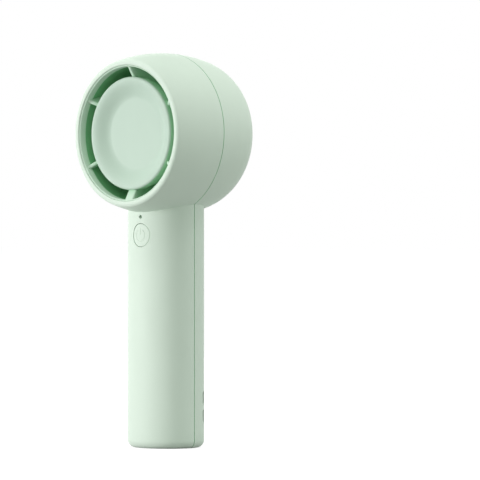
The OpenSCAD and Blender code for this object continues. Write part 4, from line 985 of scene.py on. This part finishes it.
class FAN_OT_impeller(bpy.types.Operator):
    """Builds the impeller's hub and blades"""

    bl_idname = "fan.impeller"
    bl_label = "Impeller"

    def execute(self, context):
        fan = context.scene.fan
        air = fan.air
        # The impeller's darker, greener colour is painted shade from inside the shroud.
        plastic = moulded("impeller_plastic", fan.looks.impeller, 0.45, shine=0.15)
        base, nose = IMPELLER_LOW.y, IMPELLER_HIGH.y
        soft = 1.2 * MM
        hub = [(impeller_radius(air, y), y) for y in spread(base, nose - soft, 24)]
        hub += arc((air.nose_radius - soft, nose - soft), soft, 0, pi / 2, 8)[1:]
        bush, bush_depth, hollow, hub_wall = 2 * MM, 8 * MM, 4 * MM, 1.4 * MM
        bush_rear = base + bush_depth
        inner = impeller_radius(air, base + hollow) - hub_wall
        boss = bush + hub_wall
        hub += [(0, nose), (0, bush_rear), (bush, bush_rear), (bush, base), (boss, base)]
        hub += [(boss, base + hollow), (inner, base + hollow), (inner, base), hub[0]]
        parts = [turned_piece("hub", hub, [plastic], 160, closed=False), blade(air)]
        first = radians(12)
        repeat_round(parts[1], air.blades, first, -2 * pi / air.blades, plastic)
        finish_piece(join_pieces("fan_wheel", parts), "rotor", "impeller", "impeller", angle=40)
        return {"FINISHED"}


# Button, indicator and socket


def power_mark(x, z):
    """Depth share of an open ring with an upright bar, at a place on the button."""
    ring, width, gap = 2.3 * MM, 0.42 * MM, radians(35)
    radius = hypot(x, z)
    on_ring = abs(radius - ring) if abs(atan2(x, z)) > gap else 1
    foot, head = ring * 0.25, ring * 1.22
    on_bar = hypot(x, max(foot - z, z - head, 0))
    return 1 - ease((min(on_ring, on_bar) - width / 4) / (width / 2))


class FAN_OT_button(bpy.types.Operator):
    """Builds the push button with its engraved power sign, and the indicator"""

    bl_idname = "fan.button"
    bl_label = "Button"

    def execute(self, context):
        fan = context.scene.fan
        half_w, half_d = fan.shell.handle_width / 2, fan.shell.handle_depth / 2
        set_in = half_d + BUTTON_LOW.y
        flange_width, flange_set, flange_depth = 0.55 * MM, 3 * MM, 1 * MM
        edge, depth, post = 0.3 * MM, 0.14 * MM, 1.5 * MM
        flange, radius = FLANGE_RADIUS, FLANGE_RADIUS - flange_width
        flange_low = BUTTON_LOW.y + flange_set
        flange_high = flange_low + flange_depth
        turns = spread(0, 2 * pi, 192)[:-1]

        def face_y(x, z):
            curve = set_in - half_d * sqrt(1 - (x / half_w) ** 2)
            return curve + depth * power_mark(x, z)

        def row(r, y, curved=False):
            """Ring of places at one depth, or that far behind the curved face."""
            places = [(r * sin(a), r * cos(a)) for a in (turns if r else [0])]
            return [(x, y + (face_y(x, z) if curved else 0), BUTTON_Z + z) for x, z in places]

        corner = spread(0, pi / 2, 6)[1:]
        rows = [row(r, 0, True) for r in spread(0, radius - edge, 56)]
        rows += [row(radius - edge + edge * sin(a), edge - edge * cos(a), True) for a in corner]
        tail = [(radius, flange_low), (flange, flange_low), (flange, flange_high), (post, flange_high)]
        tail += [(post, BUTTON_HIGH.y), (0, BUTTON_HIGH.y)]
        rows += [row(r, y) for r, y in tail]
        push = lofted_piece("push_button", rows, [moulded("button_plastic", fan.looks.button)])
        finish_piece(push, "button", "button", "button_cap", angle=50)
        self.indicator(fan)
        return {"FINISHED"}

    def indicator(self, fan):
        """Light pipe with a domed tip."""
        tip, dome, collar = 0.65 * MM, 0.25 * MM, 1.7 * MM
        body, wall_y = (PIPE_HIGH.x - PIPE_LOW.x) / 2, PIPE_LOW.y + collar
        turns = spread(0, pi / 2, 8)
        outline = [(tip * sin(a), PIPE_LOW.y + dome * (1 - cos(a))) for a in turns]
        outline += [(tip, wall_y), (body, wall_y), (body, PIPE_HIGH.y), (0, PIPE_HIGH.y)]
        material, tree, shader, place = start_material("indicator_lens", {"Roughness": 0.25})
        vary_colour(shader, noise(tree, place, 1500, 2), fan.looks.indicator, 0.8, 1.1)
        lens = turned_piece("indicator", outline, [material], 48, False, PIPE_Z)
        finish_piece(lens, "housing", "indicator", "light_pipe")


class FAN_OT_socket(bpy.types.Operator):
    """Builds the charging socket's shell and its contact tongue"""

    bl_idname = "fan.socket"
    bl_label = "Socket"

    def execute(self, context):
        fan = context.scene.fan
        wall, deep, soft, mouth = 0.3 * MM, 6.2 * MM, 0.12 * MM, SOCKET_HIGH.y
        stations = [(0, SOCKET_LOW.y), (0, mouth - soft), (soft, mouth), (wall - soft / 2, mouth)]
        stations += [(wall, mouth - soft), (wall, mouth - deep)]
        rows = []
        for inset, y in stations:
            points = slot_points(SOCKET_HEIGHT - 2 * inset, SOCKET_WIDTH - 2 * inset)
            rows.append([(u, y, SOCKET_Z + a) for a, u in points])
        coat = metal("socket_black", fan.looks.socket, 0.38)
        shell = lofted_piece("charging_socket", rows, [coat])
        finish_piece(shell, "housing", "socket", "usb_socket")
        self.tongue()
        return {"FINISHED"}

    def tongue(self):
        """Contact tongue with a rounded front edge and rows of flat contacts."""
        body = moulded("tongue_plastic", linear(45, 48, 46), 0.35)
        gold = metal("contact_gold", linear(196, 164, 92), 0.25)
        half, thick = TONGUE_HIGH.x, (TONGUE_HIGH.z - TONGUE_LOW.z) / 2
        mid = (TONGUE_HIGH.z + TONGUE_LOW.z) / 2
        soft = 0.15 * MM
        rows = []
        for inset, y in ((0, TONGUE_LOW.y), (0, TONGUE_HIGH.y - soft), (soft, TONGUE_HIGH.y)):
            w, t = half - inset, thick - inset
            rows.append([(x, y, mid + z) for x, z in ((-w, -t), (w, -t), (w, t), (-w, t))])
        parts = [lofted_piece("blade", rows, [body])]
        contacts, pitch, pad_set = 12, 0.5 * MM, 2 * MM
        pad_width, pad_length, pad_height = 0.28 * MM, 2.6 * MM, 0.06 * MM
        pad = Matrix.Diagonal((pad_width, pad_length, pad_height, 1))
        build = bmesh.new()
        for face in (-1, 1):
            for i in range(contacts):
                x = (i - (contacts - 1) / 2) * pitch
                place = Matrix.Translation((x, TONGUE_HIGH.y - pad_set, mid + face * thick))
                bmesh.ops.create_cube(build, size=1, matrix=place @ pad)
        parts.append(new_object("contacts", close(build, "contacts"), [gold]))
        finish_piece(join_pieces("contact_tongue", parts), "housing", "dark_plastic", "usb_tongue")


class FAN_OT_inner_parts(bpy.types.Operator):
    """Gives the pieces inside the shells their materials"""

    bl_idname = "fan.inner_parts"
    bl_label = "Inner parts"

    def execute(self, context):
        along, layered = (1, 0.05, 1), (0.05, 8, 0.05)
        screws = "shroud_screws motor_screws cradle_screws board_screws"
        bright = "front_bearing rear_bearing shaft battery_tabs battery_cell"
        looks = {
            metal("plated_steel", (0.55, 0.55, 0.56), 0.32): screws + " shaft_clip rotor_can",
            metal("ground_steel", (0.62, 0.63, 0.65), 0.2, along): bright,
            metal("turned_brass", (0.68, 0.5, 0.2), 0.28, along): "motor_mount impeller_bush",
            moulded("dark_plastic", (0.03, 0.032, 0.032), 0.5): "battery_cradle switch_body board_chips",
            metal("laminations", (0.12, 0.125, 0.13), 0.5, layered, 900): "stator_core",
            metal("bonded_magnet", (0.06, 0.06, 0.065), 0.6): "magnet_ring",
            moulded("red_lead", (0.45, 0.02, 0.015), 0.5, 1200): "motor_leads battery_lead_positive",
            moulded("black_lead", (0.01, 0.01, 0.01), 0.5, 1200): "battery_lead_negative",
            moulded("cell_sleeve", (0.07, 0.2, 0.34), 0.25, 400): "battery_sleeve",
            moulded("white_plastic", (0.8, 0.8, 0.76), 0.4): "switch_plunger status_led",
            wound_copper("copper_wire", (0.55, 0.2, 0.07)): "stator_windings",
            solder_mask("solder_mask", (0.01, 0.08, 0.035)): "control_board",
            foam("pad_foam", (0.05, 0.05, 0.055)): "battery_pads",
        }
        for material, nodes in looks.items():
            for node in nodes.split():
                mesh = frame["nodes"][node].data
                mesh.materials.clear()
                mesh.materials.append(material)
        return {"FINISHED"}


# Stage

VIEW_TURN = radians(43.69)
VIEW_HEIGHT = 81.9 * MM
VIEW_DISTANCE = 1371 * MM
VIEW_SIDE = 29.3 * MM
PIXELS_PER_METRE = 2527
PHOTO_SIZE = 480
TOWARDS = Vector((sin(VIEW_TURN), -cos(VIEW_TURN), 0))
RIGHT = Vector((cos(VIEW_TURN), sin(VIEW_TURN), 0))
UP = Vector((0, 0, 1))
MIDDLE = Vector((0, 0, 0.09))

# Lamps: place to the right of the middle, above it and towards the camera, then size and power
LAMPS = {
    "left": ((-1, 0.03, 0.18), 0.45, 7.9),
    "top": ((0.2, 1.1, 0.25), 0.9, 5.4),
    "right": ((1, 0.3, -0.3), 0.6, 1.5),
    "rear": ((-0.1, 0.15, -1), 0.6, 2),
}
LAMP_COLOUR = (1, 0.95, 1)
SKY_LIGHT, SKY_SEEN = (0.56, 0.61, 0.56), (1, 1, 1)


def seen_ray_share(tree):
    """1 for what the camera, a reflection or a clear piece sees, and 0 for light on things."""
    path = tree.nodes.new("ShaderNodeLightPath").outputs
    total = path["Is Camera Ray"]
    for name in ("Is Glossy Ray", "Is Transmission Ray"):
        total = add_node(tree, "ShaderNodeMath", {0: total, 1: path[name]}, operation="MAXIMUM")
    return total


def area_light(name, place, size, power):
    """Round lamp that is turned to the fan's middle."""
    lamp = bpy.data.lights.new(name, "AREA")
    lamp.shape = "DISK"
    lamp.size = size
    lamp.energy = power
    lamp.color = LAMP_COLOUR
    light = bpy.data.objects.new(name, lamp)
    bpy.context.scene.collection.objects.link(light)
    light.location = place
    light.rotation_euler = (MIDDLE - place).to_track_quat("-Z", "Y").to_euler()


class FAN_OT_stage(bpy.types.Operator):
    """Sets the floor, the lights, the pale surroundings and the camera"""

    bl_idname = "fan.stage"
    bl_label = "Stage"

    def execute(self, context):
        scene = context.scene
        self.floor(scene.fan.looks.floor)
        self.world(scene)
        for name, ((right, up, towards), size, power) in LAMPS.items():
            area_light(name, MIDDLE + right * RIGHT + up * UP + towards * TOWARDS, size, power)
        camera = bpy.data.cameras.new("camera")
        camera.sensor_width = 36
        camera.lens = camera.sensor_width * PIXELS_PER_METRE * VIEW_DISTANCE / PHOTO_SIZE
        camera.clip_start = 0.05
        camera.clip_end = 50
        view = bpy.data.objects.new("camera", camera)
        scene.collection.objects.link(view)
        view.location = VIEW_DISTANCE * TOWARDS + VIEW_SIDE * RIGHT + VIEW_HEIGHT * UP
        view.rotation_euler = (-TOWARDS).to_track_quat("-Z", "Y").to_euler()
        scene.camera = view
        scene.view_settings.view_transform = "Standard"
        return {"FINISHED"}

    def floor(self, base):
        """Pale floor that is bright to the eye and casts less light on the fan."""
        reach, shade, glow_strength, glow_share = 20, 0.45, 1.15, 0.75
        build = bmesh.new()
        bmesh.ops.create_grid(build, x_segments=1, y_segments=1, size=reach)
        material, tree, shader, _ = start_material("floor_pale", {"Roughness": 0.8})
        seen = seen_ray_share(tree)
        vary_colour(shader, seen, base, shade, 1)
        glow = add_node(tree, "ShaderNodeEmission", {"Strength": glow_strength})
        mixed = add_node(tree, "ShaderNodeMixShader", {1: shader.outputs[0], 2: glow})
        vary_value(seen, 0, glow_share, mixed.node.inputs[0])
        tree.links.new(mixed, tree.nodes["Material Output"].inputs["Surface"])
        plane = new_object("floor", close(build, "floor"), [material])

    def world(self, scene):
        """Surroundings that are white to the eye and light the fan more softly."""
        world = bpy.data.worlds.new("surroundings")
        scene.world = world
        world.use_nodes = True
        tree = world.node_tree
        sky = tree.nodes["Background"].inputs["Color"]
        blend_colours(seen_ray_share(tree), SKY_LIGHT, SKY_SEEN, sky)


PIECES = (
    FAN_OT_shells,
    FAN_OT_inlet,
    FAN_OT_outlet,
    FAN_OT_impeller,
    FAN_OT_button,
    FAN_OT_socket,
    FAN_OT_inner_parts,
    FAN_OT_stage,
)


class FAN_PT_panel(bpy.types.Panel):
    """Lists the steps that build the fan's finish"""

    bl_idname = "FAN_PT_panel"
    bl_label = "Handheld Fan"
    bl_space_type = "VIEW_3D"
    bl_region_type = "UI"
    bl_category = "Fan"

    def draw(self, context):
        for piece in PIECES:
            self.layout.operator(piece.bl_idname)
        looks = context.scene.fan.looks
        for name in looks.bl_rna.properties.keys():
            if name not in ("rna_type", "name"):
                self.layout.prop(looks, name)


CLASSES = (FanShellSizes, FanAirSizes, FanLooks, FanSettings, *PIECES, FAN_PT_panel)


def register():
    for cls in CLASSES:
        bpy.utils.register_class(cls)
    bpy.types.Scene.fan = bpy.props.PointerProperty(type=FanSettings)


def unregister():
    del bpy.types.Scene.fan
    for cls in reversed(CLASSES):
        bpy.utils.unregister_class(cls)


def main():
    register()
    bpy.ops.fan.shells()
    bpy.ops.fan.inlet()
    bpy.ops.fan.outlet()
    bpy.ops.fan.impeller()
    bpy.ops.fan.button()
    bpy.ops.fan.socket()
    bpy.ops.fan.inner_parts()
    bpy.ops.fan.stage()


if __name__ == "__main__":
    main()
